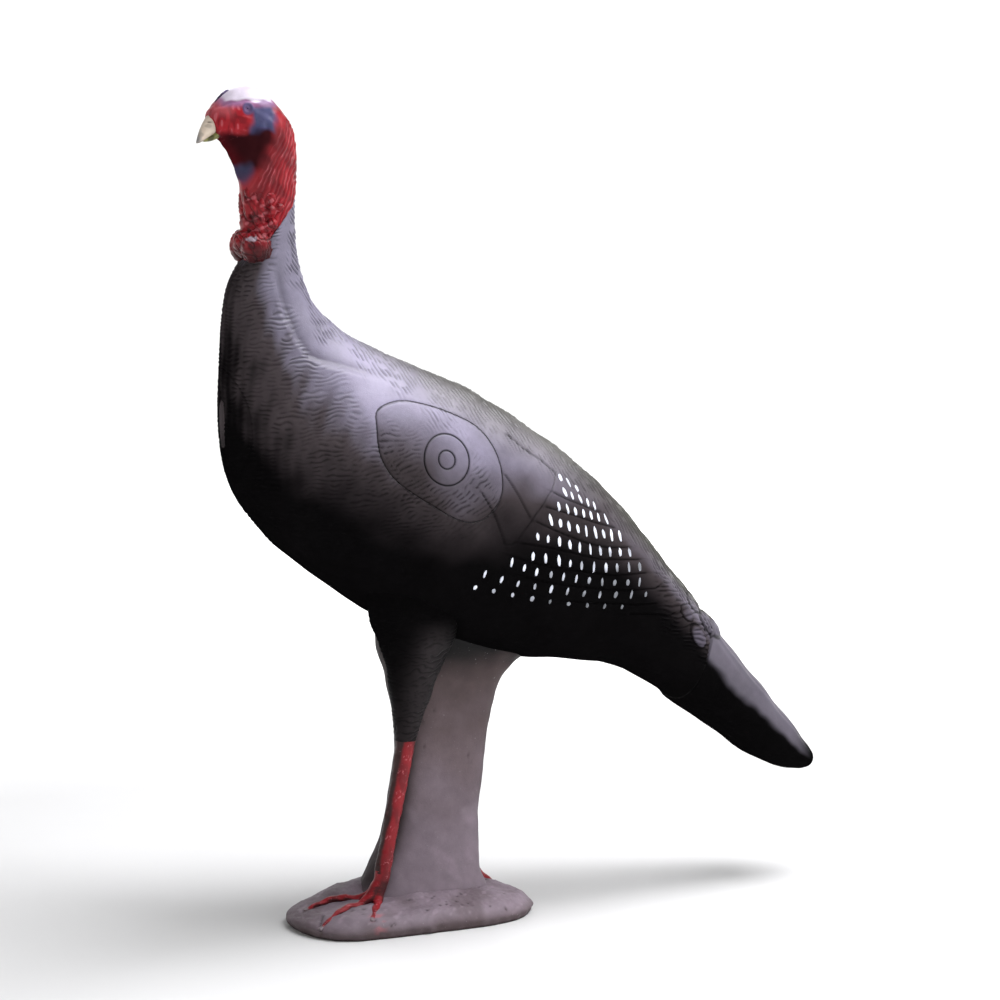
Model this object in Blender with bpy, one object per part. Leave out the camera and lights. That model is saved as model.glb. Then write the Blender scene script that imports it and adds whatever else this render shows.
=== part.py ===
"""Standing turkey archery target: moulded foam pieces on a ground plate, with a slide-out scoring core.

Frame: metres, +Z up. The bird faces -X, its left flank is towards -Y, and the origin is the middle
of the ground plate's underside.
"""
import math

import bmesh
import bpy
import numpy as np
from mathutils import Vector

# ---- Driving dimensions (metres) -------------------------------------------------------------

GAP = 0.0003            # clearance between pieces that touch
CORE_GAP = 0.0005       # clearance round the scoring core in its pocket
ROUND_SIDES = 12        # sides of the steel parts' round sections

# Body and neck: back point (x, z), breast or belly point (x, z), half width, from the neck down.
BODY_STATIONS = (
    (-0.1155, 0.7220, -0.1710, 0.6550, 0.0225),
    (-0.1155, 0.6920, -0.1825, 0.6370, 0.0245),
    (-0.1120, 0.6565, -0.1880, 0.6095, 0.0285),
    (-0.0975, 0.6210, -0.1900, 0.5730, 0.0370),
    (-0.0690, 0.5930, -0.1905, 0.5330, 0.0490),
    (-0.0310, 0.5710, -0.1890, 0.4880, 0.0640),
    (0.0100, 0.5540, -0.1775, 0.4385, 0.0770),
    (0.0555, 0.5350, -0.1415, 0.3900, 0.0860),
    (0.0980, 0.5110, -0.0945, 0.3500, 0.0900),
    (0.1400, 0.4845, -0.0400, 0.3140, 0.0900),
    (0.1790, 0.4555, 0.0250, 0.2830, 0.0860),
    (0.2160, 0.4230, 0.0910, 0.2630, 0.0780),
    (0.2505, 0.3870, 0.1560, 0.2530, 0.0690),
    (0.2830, 0.3485, 0.2155, 0.2440, 0.0600),
    (0.3100, 0.3160, 0.2620, 0.2245, 0.0530),
    (0.3320, 0.2875, 0.2980, 0.2000, 0.0490),
)
TAIL_STATIONS = (
    (0.3330, 0.2865, 0.2990, 0.1990, 0.0470),
    (0.3510, 0.2630, 0.3250, 0.1770, 0.0450),
    (0.3785, 0.2320, 0.3560, 0.1550, 0.0430),
    (0.4005, 0.2060, 0.3860, 0.1360, 0.0410),
    (0.4320, 0.1690, 0.4195, 0.1185, 0.0390),
    (0.4520, 0.1430, 0.4420, 0.1135, 0.0340),
    (0.4610, 0.1310, 0.4545, 0.1140, 0.0220),
)
HEAD_STATIONS = (
    (-0.1140, 0.7380, -0.1660, 0.7000, 0.0190),
    (-0.1135, 0.7600, -0.1715, 0.7380, 0.0200),
    (-0.1170, 0.7860, -0.1795, 0.7600, 0.0235),
    (-0.1325, 0.8085, -0.1855, 0.7700, 0.0250),
    (-0.1555, 0.8270, -0.1890, 0.7745, 0.0240),
    (-0.1770, 0.8250, -0.1925, 0.7775, 0.0210),
    (-0.1915, 0.8150, -0.1960, 0.7810, 0.0175),
    (-0.2000, 0.8055, -0.1980, 0.7860, 0.0120),
)
# Leg column, a blade along X: height, front edge x, rear edge x, half thickness.
COLUMN_STATIONS = (
    (0.0100, -0.0600, 0.0980, 0.0360),
    (0.0300, -0.0520, 0.0900, 0.0300),
    (0.0460, -0.0440, 0.0800, 0.0255),
    (0.0730, -0.0305, 0.0770, 0.0225),
    (0.1000, -0.0230, 0.0770, 0.0215),
    (0.1420, -0.0150, 0.0810, 0.0210),
    (0.1810, -0.0110, 0.0865, 0.0215),
    (0.2100, -0.0130, 0.0925, 0.0220),
    (0.2330, -0.0185, 0.1000, 0.0240),
    (0.2550, -0.0220, 0.1200, 0.0280),
    (0.2750, -0.0280, 0.1600, 0.0360),
    (0.3100, -0.0300, 0.1900, 0.0450),
)
# Left thigh: height, front edge x, rear edge x, middle y, half thickness.
THIGH_STATIONS = (
    (0.3700, -0.0300, 0.0700, -0.0420, 0.0300),
    (0.3450, -0.0560, 0.0600, -0.0470, 0.0310),
    (0.3120, -0.0560, 0.0430, -0.0480, 0.0290),
    (0.2900, -0.0470, 0.0330, -0.0460, 0.0260),
    (0.2700, -0.0395, 0.0240, -0.0420, 0.0230),
    (0.2500, -0.0345, 0.0160, -0.0385, 0.0200),
    (0.2200, -0.0290, 0.0060, -0.0340, 0.0165),
    (0.2000, -0.0255, 0.0005, -0.0310, 0.0140),
    (0.1860, -0.0230, -0.0030, -0.0290, 0.0120),
)
# Left shank: x, y, z and radius down its length, ending at the ankle.
SHANK_PATH = (
    (-0.0090, -0.0270, 0.2000, 0.0100),
    (-0.0160, -0.0270, 0.1600, 0.0088),
    (-0.0225, -0.0275, 0.1280, 0.0080),
    (-0.0325, -0.0290, 0.0830, 0.0075),
    (-0.0385, -0.0310, 0.0580, 0.0080),
)
RIGHT_LEG_SHIFT = 0.0980     # the right leg stands this far behind the left
# Toes in plan, as steps from the ankle towards the front and the outer side, with the radius.
LEFT_TOES = (
    ((-0.0250, 0.0038, 0.0060), (-0.0450, 0.0073, 0.0055), (-0.0660, 0.0108, 0.0028)),
    ((-0.0220, -0.0107, 0.0055), (-0.0440, -0.0147, 0.0048), (-0.0690, -0.0222, 0.0026)),
    ((-0.0110, 0.0160, 0.0055), (-0.0210, 0.0310, 0.0045), (-0.0262, 0.0368, 0.0022)),
)
RIGHT_TOES = (
    ((-0.0250, 0.0120, 0.0060), (-0.0450, 0.0180, 0.0055), (-0.0660, 0.0210, 0.0028)),
    ((-0.0220, 0.0030, 0.0055), (-0.0440, 0.0025, 0.0048), (-0.0640, 0.0010, 0.0026)),
    ((-0.0080, 0.0160, 0.0055), (-0.0140, 0.0270, 0.0045), (-0.0170, 0.0330, 0.0022)),
    ((0.0180, 0.0010, 0.0055), (0.0320, -0.0070, 0.0045), (0.0420, -0.0150, 0.0026)),
)
ANKLE_DROP = 0.0120          # from the ankle down to the knuckle where the toes part
TOE_LIFT = 0.0015            # a toe's middle line stands this far above the mound
# Ground plate: outline (x, y), then the mound's height and outline scale from its rim inwards.
BASE_MIDDLE = (0.0200, -0.0020)
BASE_OUTLINE = (
    (-0.1250, 0.0080), (-0.1240, -0.0240), (-0.1130, -0.0540), (-0.0880, -0.0740), (-0.0460, -0.0780),
    (0.0100, -0.0780), (0.0620, -0.0760), (0.1000, -0.0630), (0.1240, -0.0340), (0.1220, -0.0040),
    (0.1000, 0.0240), (0.0600, 0.0500), (0.0150, 0.0680), (-0.0400, 0.0700), (-0.0850, 0.0570),
    (-0.1130, 0.0350),
)
BASE_PROFILE = ((0.0000, 0.970), (0.0040, 0.992), (0.0090, 1.000), (0.0145, 0.955), (0.0190, 0.900),
                (0.0235, 0.820), (0.0285, 0.720), (0.0330, 0.620), (0.0375, 0.520), (0.0410, 0.400))
# Scoring core: its egg outline on the flank (x, z), and how far it is cut out to each side.
CORE_OUTLINE = (
    (-0.0570, 0.5190), (-0.0340, 0.5260), (-0.0090, 0.5225), (0.0210, 0.5125), (0.0520, 0.4960),
    (0.0680, 0.4680), (0.0670, 0.4350), (0.0500, 0.4130), (0.0240, 0.4090), (-0.0090, 0.4260),
    (-0.0450, 0.4510), (-0.0600, 0.4750), (-0.0610, 0.5020),
)
CORE_REACH = 0.1100
# Face: each beak half's root (top point, bottom point), half width and bow, and the beak's tip.
BEAK_TIP = (-0.2145, 0.0000, 0.7730)
UPPER_BEAK_ROOT = ((-0.1950, 0.0000, 0.8040), (-0.1940, 0.0000, 0.7850))
UPPER_BEAK_HALF_WIDTH = 0.0105
UPPER_BEAK_BOW = 0.0035
LOWER_BEAK_ROOT = ((-0.1920, 0.0000, 0.7890), (-0.1900, 0.0000, 0.7755))
LOWER_BEAK_TIP = (-0.2085, 0.0000, 0.7755)
LOWER_BEAK_HALF_WIDTH = 0.0085
LOWER_BEAK_BOW = -0.0010
EYE_CENTRE = (-0.1730, 0.0205, 0.8030)
EYE_RADIUS = 0.0050
SNOOD_PATH = (
    (-0.1780, 0.0000, 0.8165, 0.0055),
    (-0.1860, 0.0000, 0.8215, 0.0048),
    (-0.1925, 0.0000, 0.8185, 0.0033),
)
# Wattle: its centre, the least reach of its skin from there, and each lump's centre and radius.
WATTLE_CENTRE = (-0.1560, 0.0000, 0.6820)
WATTLE_LEAST_REACH = 0.0080
WATTLE_LUMPS = (
    (-0.1600, 0.0000, 0.6740, 0.0200), (-0.1600, -0.0170, 0.6750, 0.0160), (-0.1600, 0.0170, 0.6770, 0.0160),
    (-0.1500, -0.0190, 0.6900, 0.0110), (-0.1500, 0.0190, 0.6900, 0.0110), (-0.1560, 0.0000, 0.6960, 0.0150),
    (-0.1420, -0.0180, 0.7020, 0.0090), (-0.1420, 0.0180, 0.7020, 0.0090),
)
# Beard: a flat tuft on the breast.
BEARD_TOP_Z = 0.5280
BEARD_LENGTH = 0.0460
BEARD_WIDTH = 0.0110
BEARD_DEPTH = 0.0140
BEARD_X = -0.1880
# Steel tubes up the leg column, which take the ground stakes from below.
TUBE_OUTER_RADIUS = 0.0090
TUBE_INNER_RADIUS = 0.0078
TUBE_TOP = 0.2000
TUBE_RECESS = 0.0005         # the tubes stop this far above the underside
FRONT_TUBE_X = 0.0180
REAR_TUBE_X = 0.0560
OVERRUN = 0.0100             # how far a bore's cutter runs past the face it opens through
# Hidden stiffeners: the neck's bent steel rod and the tail's wooden dowel.
NECK_ROD_RADIUS = 0.0030
NECK_ROD_POINTS = ((-0.1480, 0.0, 0.7900), (-0.1440, 0.0, 0.7300), (-0.1450, 0.0, 0.6600),
                   (-0.1400, 0.0, 0.5900), (-0.1220, 0.0, 0.5200))
DOWEL_RADIUS = 0.0060
DOWEL_ENDS = ((0.2900, 0.0, 0.2650), (0.3620, 0.0, 0.2030))

# ---- Colours: red, green, blue (linear), roughness, metallic ---------------------------------

FOAM_BRONZE = ((0.105, 0.085, 0.125), 0.45, 0.0)
FOAM_BLACK = ((0.020, 0.019, 0.022), 0.50, 0.0)
FOAM_STONE = ((0.190, 0.150, 0.165), 0.60, 0.0)
SKIN_RED = ((0.260, 0.030, 0.035), 0.50, 0.0)
LEG_RED = ((0.250, 0.026, 0.030), 0.50, 0.0)
BEAK_HORN = ((0.500, 0.430, 0.360), 0.40, 0.0)
BEAK_OLIVE = ((0.110, 0.110, 0.035), 0.45, 0.0)
EYE_BLUE = ((0.020, 0.030, 0.060), 0.25, 0.0)
STEEL = ((0.400, 0.400, 0.410), 0.40, 1.0)
WOOD = ((0.450, 0.300, 0.170), 0.70, 0.0)


# ---- Helpers ---------------------------------------------------------------------------------

def clear_scene():
    """Remove every object so that the script always starts from nothing."""
    for item in list(bpy.data.objects):
        bpy.data.objects.remove(item, do_unlink=True)


def material(name, look):
    """A plain painted material from (colour, roughness, metallic)."""
    colour, roughness, metallic = look
    made = bpy.data.materials.new(name)
    made.use_nodes = True
    shader = made.node_tree.nodes["Principled BSDF"]
    shader.inputs["Base Color"].default_value = (*colour, 1.0)
    shader.inputs["Roughness"].default_value = roughness
    shader.inputs["Metallic"].default_value = metallic
    made.diffuse_color = (*colour, 1.0)
    return made


def smooth_rows(rows, steps, closed=False):
    """Rows of numbers on a Catmull-Rom curve through the given rows, `steps` to each interval."""
    rows = np.array(rows, float)
    count = len(rows)
    spans = count if closed else count - 1
    result = []
    for index in range(spans):
        start = rows[index]
        end = rows[(index + 1) % count]
        before = rows[index - 1] if closed or index > 0 else 2 * start - end
        after = rows[(index + 2) % count] if closed or index < spans - 1 else 2 * end - start
        for step in range(steps):
            t = step / steps
            slope = end - before
            bend = 2 * before - 5 * start + 4 * end - after
            twist = 3 * start - before - 3 * end + after
            result.append(start + 0.5 * t * (slope + t * (bend + t * twist)))
    if not closed:
        result.append(rows[-1])
    return np.array(result)


def superellipse(count, power):
    """Pairs (cosine-like, sine-like) round a superellipse, starting at its first axis."""
    pairs = []
    for index in range(count):
        angle = 2 * math.pi * index / count
        across = math.copysign(abs(math.cos(angle)) ** (2 / power), math.cos(angle))
        side = math.copysign(abs(math.sin(angle)) ** (2 / power), math.sin(angle))
        pairs.append((across, side))
    return pairs


def body_rings(stations, steps, count, power=2.2, bias=0.12):
    """Rings from back-to-belly stations; bias moves the widest line towards the belly."""
    rings = []
    for back_x, back_z, belly_x, belly_z, half_width in smooth_rows(stations, steps).tolist():
        middle = Vector(((back_x + belly_x) / 2, 0, (back_z + belly_z) / 2))
        reach = Vector(((back_x - belly_x) / 2, 0, (back_z - belly_z) / 2))
        ring = []
        for across, side in superellipse(count, power):
            wide = half_width * side * (1 - bias * across)
            ring.append(middle + across * reach + Vector((0, wide, 0)))
        rings.append(ring)
    return rings


def blade_rings(stations, steps, count, power):
    """Level rings from (height, front x, rear x, middle y, half thickness)."""
    rings = []
    for height, front, rear, middle_y, half_thickness in smooth_rows(stations, steps).tolist():
        middle_x = (front + rear) / 2
        half_length = (rear - front) / 2
        rings.append([Vector((middle_x + half_length * across, middle_y + half_thickness * side, height))
                      for across, side in superellipse(count, power)])
    return rings


def tube_rings(path, steps, count):
    """Round rings of the given radii, square to a smooth path of (x, y, z, radius)."""
    rows = smooth_rows(path, steps)
    points = [Vector(row[:3]) for row in rows]
    rings = []
    side = None
    for index, point in enumerate(points):
        along = (points[min(index + 1, len(points) - 1)] - points[max(index - 1, 0)]).normalized()
        if side is None:
            side = along.orthogonal().normalized()
        side = (side - along * side.dot(along)).normalized()
        other = along.cross(side)
        ring = []
        for turn in range(count):
            angle = 2 * math.pi * turn / count
            offset = math.cos(angle) * side + math.sin(angle) * other
            ring.append(point + float(rows[index][3]) * offset)
        rings.append(ring)
    return rings


def loft(name, rings, grow=0.0):
    """A closed mesh object over rings of equal count, its ends capped, grown outwards by `grow`."""
    mesh = bpy.data.meshes.new(name)
    sheet = bmesh.new()
    rows = [[sheet.verts.new(point) for point in ring] for ring in rings]
    count = len(rows[0])
    for lower, upper in zip(rows, rows[1:]):
        for index in range(count):
            after = (index + 1) % count
            sheet.faces.new((lower[index], lower[after], upper[after], upper[index]))
    sheet.faces.new(list(reversed(rows[0])))
    sheet.faces.new(rows[-1])
    finish_mesh(sheet, mesh, grow)
    return bpy.data.objects.new(name, mesh)


def finish_mesh(sheet, mesh, grow=0.0):
    """Point the faces out, grow the surface along its normals, and write it to the mesh."""
    bmesh.ops.recalc_face_normals(sheet, faces=sheet.faces)
    sheet.normal_update()
    if grow:
        moves = [vertex.normal * grow for vertex in sheet.verts]
        for vertex, move in zip(sheet.verts, moves):
            vertex.co += move
    sheet.to_mesh(mesh)
    sheet.free()


def rod(name, start, end, radius, sides=ROUND_SIDES):
    """A straight round bar between two points."""
    return loft(name, tube_rings(((*start, radius), (*end, radius)), 1, sides))


def ball(name, centre, radius, grow=0.0, level=3):
    """A sphere as an icosphere, its level setting how fine it is."""
    mesh = bpy.data.meshes.new(name)
    sheet = bmesh.new()
    bmesh.ops.create_icosphere(sheet, subdivisions=level, radius=radius + grow)
    bmesh.ops.translate(sheet, vec=Vector(centre), verts=sheet.verts)
    finish_mesh(sheet, mesh)
    return bpy.data.objects.new(name, mesh)


def combine(target, tool, operation):
    """Apply a Boolean of the tool to the target, then drop the tool."""
    scene = bpy.context.scene.collection.objects
    for item in (target, tool):
        if item.name not in scene:
            scene.link(item)
    cut = target.modifiers.new("cut", "BOOLEAN")
    cut.solver = "EXACT"
    cut.operation = operation
    cut.object = tool
    shape = bpy.data.meshes.new_from_object(target.evaluated_get(bpy.context.evaluated_depsgraph_get()))
    target.modifiers.remove(cut)
    target.data = shape
    bpy.data.objects.remove(tool, do_unlink=True)


def cut_by(target, *tools):
    """Cut each tool out of the target in turn."""
    for tool in tools:
        combine(target, tool, "DIFFERENCE")


def place(part, look, joint_origin=None):
    """Name the mesh, give it its own material, shade it smooth and put it in the scene."""
    scene = bpy.context.scene.collection.objects
    if part.name not in scene:
        scene.link(part)
    part.data.name = part.name
    part.data.materials.clear()
    part.data.materials.append(material(part.name + "_finish", look))
    if joint_origin is not None:
        for vertex in part.data.vertices:
            vertex.co -= Vector(joint_origin)
        part.location = joint_origin
    part.data.shade_smooth()
    part.data.set_sharp_from_angle(angle=math.radians(40))
    return part


# ---- Shapes that neighbours also need as cutters -----------------------------------------------

def torso_shape(name, grow=0.0):
    return loft(name, body_rings(BODY_STATIONS, 2, 32), grow)


def head_rings():
    """The head starts one gap above the neck's sloping top face."""
    back = Vector((BODY_STATIONS[0][0], 0, BODY_STATIONS[0][1]))
    front = Vector((BODY_STATIONS[0][2], 0, BODY_STATIONS[0][3]))
    lift = (back - front).cross(Vector((0, 1, 0))).normalized() * GAP
    if lift.z < 0:
        lift = -lift
    first = (back.x + lift.x, back.z + lift.z, front.x + lift.x, front.z + lift.z, BODY_STATIONS[0][4])
    return body_rings((first, *HEAD_STATIONS), 2, 24, power=2.1, bias=0.0)


def head_shape(name, grow=0.0):
    return loft(name, head_rings(), grow)


def column_shape(name, grow=0.0):
    rows = [(height, front, rear, 0.0, half) for height, front, rear, half in COLUMN_STATIONS]
    return loft(name, blade_rings(rows, 2, 28, 3.0), grow)


def shank_rows(side):
    """The left shank's rows, or those rows moved back and mirrored for the right leg."""
    if side < 0:
        return SHANK_PATH
    return [(x + RIGHT_LEG_SHIFT, -y, z, radius) for x, y, z, radius in SHANK_PATH]


def mound_height(x, y):
    """Height of the ground plate's surface: its profile read along the ray through (x, y)."""
    offset = np.array((x, y)) - BASE_MIDDLE
    outline = np.array(BASE_OUTLINE) - BASE_MIDDLE
    angles = np.arctan2(outline[:, 1], outline[:, 0])
    order = np.argsort(angles)
    rim = np.interp(math.atan2(offset[1], offset[0]), angles[order], np.hypot(*outline[order].T),
                    period=2 * math.pi)
    heights, scales = zip(*BASE_PROFILE[2:])
    return float(np.interp(math.hypot(*offset) / rim, scales[::-1], heights[::-1]))


def toe_path(steps, side):
    """A toe from the ankle over the knuckle and down the mound."""
    x, y, z, radius = shank_rows(side)[-1]
    path = [(x, y, z, radius), (x - 0.0030, y + side * 0.0010, z - ANKLE_DROP, radius * 0.95)]
    for forward, outward, toe_radius in steps:
        toe_x = x + forward
        toe_y = y + side * outward
        path.append((toe_x, toe_y, mound_height(toe_x, toe_y) + TOE_LIFT, toe_radius))
    return path


def thigh_shape(name, side, grow=0.0):
    shift = 0.0 if side < 0 else RIGHT_LEG_SHIFT
    rows = [(height, front + shift, rear + shift, -side * middle, half)
            for height, front, rear, middle, half in THIGH_STATIONS]
    return loft(name, blade_rings(rows, 2, 20, 2.2), grow)


def shank_shape(name, side, grow=0.0):
    return loft(name, tube_rings(shank_rows(side), 2, 12), grow)


def base_shape(name, grow=0.0):
    outline = smooth_rows(BASE_OUTLINE, 3, closed=True)
    middle_x, middle_y = BASE_MIDDLE
    rings = []
    for height, scale in BASE_PROFILE:
        rings.append([Vector((middle_x + (x - middle_x) * scale, middle_y + (y - middle_y) * scale, height))
                      for x, y in outline])
    return loft(name, rings, grow)


def core_prism(name, grow=0.0):
    """The egg outline carried straight across the body."""
    outline = smooth_rows(CORE_OUTLINE, 4, closed=True)
    rings = [[Vector((x, y, z)) for x, z in outline] for y in (-CORE_REACH, CORE_REACH)]
    return loft(name, rings, grow)


def neck_rod_shape(name, grow=0.0):
    rows = [(*point, NECK_ROD_RADIUS) for point in NECK_ROD_POINTS]
    return loft(name, tube_rings(rows, 3, ROUND_SIDES), grow)


def tube_bore(name, x):
    """The hole that a leg tube fills, open at the bottom."""
    return rod(name, (x, 0, -OVERRUN), (x, 0, TUBE_TOP + GAP), TUBE_OUTER_RADIUS + GAP)


def beak_rings(root, tip, half_width, bow):
    """Rings shrinking from the root section to the tip, their middle bowed up or down."""
    root_top, root_bottom = root
    rings = []
    for t in (0.0, 0.35, 0.65, 0.85, 0.97):
        shrink = 1 - t ** 1.6
        middle = (Vector(root_top) + Vector(root_bottom)) / 2 * (1 - t) + Vector(tip) * t
        middle += Vector((0, 0, bow * math.sin(math.pi * t)))
        reach = (Vector(root_top) - Vector(root_bottom)) / 2 * shrink
        ring = []
        for across, side in superellipse(14, 2.0):
            ring.append(middle + reach * across + Vector((0, half_width * shrink * side, 0)))
        rings.append(ring)
    return rings


def upper_beak_shape(name, grow=0.0):
    return loft(name, beak_rings(UPPER_BEAK_ROOT, BEAK_TIP, UPPER_BEAK_HALF_WIDTH, UPPER_BEAK_BOW), grow)


def lower_beak_shape(name):
    return loft(name, beak_rings(LOWER_BEAK_ROOT, LOWER_BEAK_TIP, LOWER_BEAK_HALF_WIDTH, LOWER_BEAK_BOW))


def eye_shape(name, side, grow=0.0):
    centre = (EYE_CENTRE[0], side * EYE_CENTRE[1], EYE_CENTRE[2])
    return ball(name, centre, EYE_RADIUS, grow, 2)


# ---- Sub-parts -------------------------------------------------------------------------------

def make_ground_plate():
    base = base_shape("base")
    cut_by(base, tube_bore("front_bore", FRONT_TUBE_X), tube_bore("rear_bore", REAR_TUBE_X))
    place(base, FOAM_STONE)


def make_column():
    column = column_shape("leg_column")
    cut_by(column, torso_shape("torso_cutter", GAP), base_shape("base_cutter", GAP),
           tube_bore("front_bore", FRONT_TUBE_X), tube_bore("rear_bore", REAR_TUBE_X))
    place(column, FOAM_STONE)


def make_leg(word, side):
    """Thigh, shank and foot of one leg, half sunk in the column's face."""
    thigh = thigh_shape(word + "_thigh", side)
    cut_by(thigh, torso_shape("torso_cutter", GAP), column_shape("column_cutter", GAP))
    place(thigh, FOAM_BLACK)
    shank = shank_shape(word + "_shank", side)
    cut_by(shank, column_shape("column_cutter", GAP), thigh_shape("thigh_cutter", side, GAP))
    place(shank, LEG_RED)
    first, *others = LEFT_TOES if side < 0 else RIGHT_TOES
    foot = loft(word + "_foot", tube_rings(toe_path(first, side), 2, 10))
    for steps in others:
        combine(foot, loft("toe", tube_rings(toe_path(steps, side), 2, 10)), "UNION")
    cut_by(foot, base_shape("base_cutter", GAP), column_shape("column_cutter", GAP),
           shank_shape("shank_cutter", side, GAP))
    place(foot, LEG_RED)


def make_torso():
    """Body and neck, with the core's pocket right across and holes for the neck rod and tail dowel."""
    torso = torso_shape("torso")
    cut_by(torso, core_prism("pocket", CORE_GAP), neck_rod_shape("rod_bore", GAP),
           loft("dowel_bore", dowel_rings(), GAP))
    place(torso, FOAM_BRONZE)


def make_core():
    """The egg-section plug, trimmed flush with both flanks; it slides along Y."""
    core = core_prism("vital_core")
    combine(core, torso_shape("torso_outside"), "INTERSECT")
    centre = np.mean(np.array(CORE_OUTLINE), axis=0)
    place(core, FOAM_BRONZE, (centre[0], 0.0, centre[1]))


def make_tail():
    tail = loft("tail", body_rings(TAIL_STATIONS, 2, 24, power=2.4, bias=0.0))
    cut_by(tail, loft("dowel_bore", dowel_rings(), GAP))
    place(tail, FOAM_BLACK)


def dowel_rings():
    start, end = DOWEL_ENDS
    return tube_rings(((*start, DOWEL_RADIUS), (*end, DOWEL_RADIUS)), 1, ROUND_SIDES)


def make_head():
    head = head_shape("head")
    cut_by(head, neck_rod_shape("rod_bore", GAP), eye_shape("eye_cutter", -1, GAP),
           eye_shape("eye_cutter", 1, GAP))
    place(head, SKIN_RED)
    for word, side in (("left_eye", -1), ("right_eye", 1)):
        place(eye_shape(word, side), EYE_BLUE)
    upper = upper_beak_shape("beak_upper")
    cut_by(upper, head_shape("head_cutter", GAP))
    place(upper, BEAK_HORN)
    lower = lower_beak_shape("beak_lower")
    cut_by(lower, head_shape("head_cutter", GAP), upper_beak_shape("beak_cutter", GAP))
    place(lower, BEAK_OLIVE)
    snood = loft("snood", tube_rings(SNOOD_PATH, 2, 10))
    cut_by(snood, head_shape("head_cutter", GAP))
    place(snood, SKIN_RED)


def make_wattle():
    """A lumpy throat pad: from its centre, each direction reaches the farthest lump's skin."""
    centre = Vector(WATTLE_CENTRE)
    mesh = bpy.data.meshes.new("wattle")
    sheet = bmesh.new()
    bmesh.ops.create_icosphere(sheet, subdivisions=3, radius=1.0)
    for vertex in sheet.verts:
        direction = vertex.co.normalized()
        reach = 0.0
        for x, y, z, radius in WATTLE_LUMPS:
            offset = Vector((x, y, z)) - centre
            along = offset.dot(direction)
            aside = offset.length_squared - along * along
            if aside < radius * radius:
                reach = max(reach, along + math.sqrt(radius * radius - aside))
        vertex.co = centre + direction * max(reach, WATTLE_LEAST_REACH)
    finish_mesh(sheet, mesh)
    wattle = bpy.data.objects.new("wattle", mesh)
    cut_by(wattle, torso_shape("torso_cutter", GAP), head_shape("head_cutter", GAP))
    place(wattle, SKIN_RED)


def make_beard():
    """A tapered tuft on the breast's middle line."""
    rows = []
    for t, fullness in ((0.0, 0.6), (0.15, 1.0), (0.5, 0.9), (0.85, 0.65), (1.0, 0.4)):
        rows.append((BEARD_TOP_Z - BEARD_LENGTH * t, BEARD_X - BEARD_DEPTH / 2, BEARD_X + BEARD_DEPTH / 2,
                     0.0, BEARD_WIDTH / 2 * fullness))
    beard = loft("beard", blade_rings(rows, 2, 12, 2.4))
    cut_by(beard, torso_shape("torso_cutter", GAP))
    place(beard, FOAM_BLACK)


def make_stiffeners():
    """Steel leg tubes, the bent neck rod and the tail's wooden dowel."""
    for word, x in (("front_leg_tube", FRONT_TUBE_X), ("rear_leg_tube", REAR_TUBE_X)):
        tube = rod(word, (x, 0, TUBE_RECESS), (x, 0, TUBE_TOP), TUBE_OUTER_RADIUS)
        cut_by(tube, rod("stake_socket", (x, 0, -OVERRUN), (x, 0, TUBE_TOP + OVERRUN), TUBE_INNER_RADIUS))
        place(tube, STEEL)
    place(neck_rod_shape("neck_rod"), STEEL)
    place(loft("tail_dowel", dowel_rings()), WOOD)


def main():
    clear_scene()
    make_ground_plate()
    make_column()
    make_leg("left", -1)
    make_leg("right", 1)
    make_torso()
    make_core()
    make_tail()
    make_head()
    make_wattle()
    make_beard()
    make_stiffeners()


main()
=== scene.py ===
"""Looks of the standing turkey target: finely sculpted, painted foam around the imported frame."""
import math

import bmesh
import bpy
import numpy as np
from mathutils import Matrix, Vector
from mathutils.bvhtree import BVHTree


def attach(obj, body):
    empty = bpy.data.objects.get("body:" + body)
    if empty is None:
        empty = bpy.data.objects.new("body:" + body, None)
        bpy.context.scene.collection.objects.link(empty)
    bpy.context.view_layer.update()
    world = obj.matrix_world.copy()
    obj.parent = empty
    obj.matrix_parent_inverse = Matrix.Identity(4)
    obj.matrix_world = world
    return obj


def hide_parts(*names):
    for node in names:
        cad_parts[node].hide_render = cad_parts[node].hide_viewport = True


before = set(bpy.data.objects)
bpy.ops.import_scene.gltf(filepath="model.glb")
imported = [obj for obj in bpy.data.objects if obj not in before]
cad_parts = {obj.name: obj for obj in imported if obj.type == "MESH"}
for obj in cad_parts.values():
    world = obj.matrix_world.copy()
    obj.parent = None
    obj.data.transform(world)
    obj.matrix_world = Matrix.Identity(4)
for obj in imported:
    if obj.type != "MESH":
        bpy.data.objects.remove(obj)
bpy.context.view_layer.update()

TARGET = "target"
CORE = "core"
SIDES = (("left", -1), ("right", 1))

# ---- Shapes, in metres -------------------------------------------------------------------------

# Body and neck, tail, and head: back point (x, z), belly point (x, z), half width.
BODY_STATIONS = (
    (-0.1155, 0.7220, -0.1710, 0.6550, 0.0225),
    (-0.1155, 0.6920, -0.1825, 0.6370, 0.0245),
    (-0.1120, 0.6565, -0.1880, 0.6095, 0.0285),
    (-0.0975, 0.6210, -0.1900, 0.5730, 0.0370),
    (-0.0690, 0.5930, -0.1905, 0.5330, 0.0490),
    (-0.0310, 0.5710, -0.1890, 0.4880, 0.0640),
    (0.0100, 0.5540, -0.1775, 0.4385, 0.0770),
    (0.0555, 0.5350, -0.1415, 0.3900, 0.0860),
    (0.0980, 0.5110, -0.0945, 0.3500, 0.0900),
    (0.1400, 0.4845, -0.0400, 0.3140, 0.0900),
    (0.1790, 0.4555, 0.0250, 0.2830, 0.0860),
    (0.2160, 0.4230, 0.0910, 0.2630, 0.0780),
    (0.2505, 0.3870, 0.1560, 0.2530, 0.0690),
    (0.2830, 0.3485, 0.2155, 0.2440, 0.0600),
    (0.3100, 0.3160, 0.2620, 0.2245, 0.0530),
    (0.3320, 0.2875, 0.2980, 0.2000, 0.0490),
)
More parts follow.
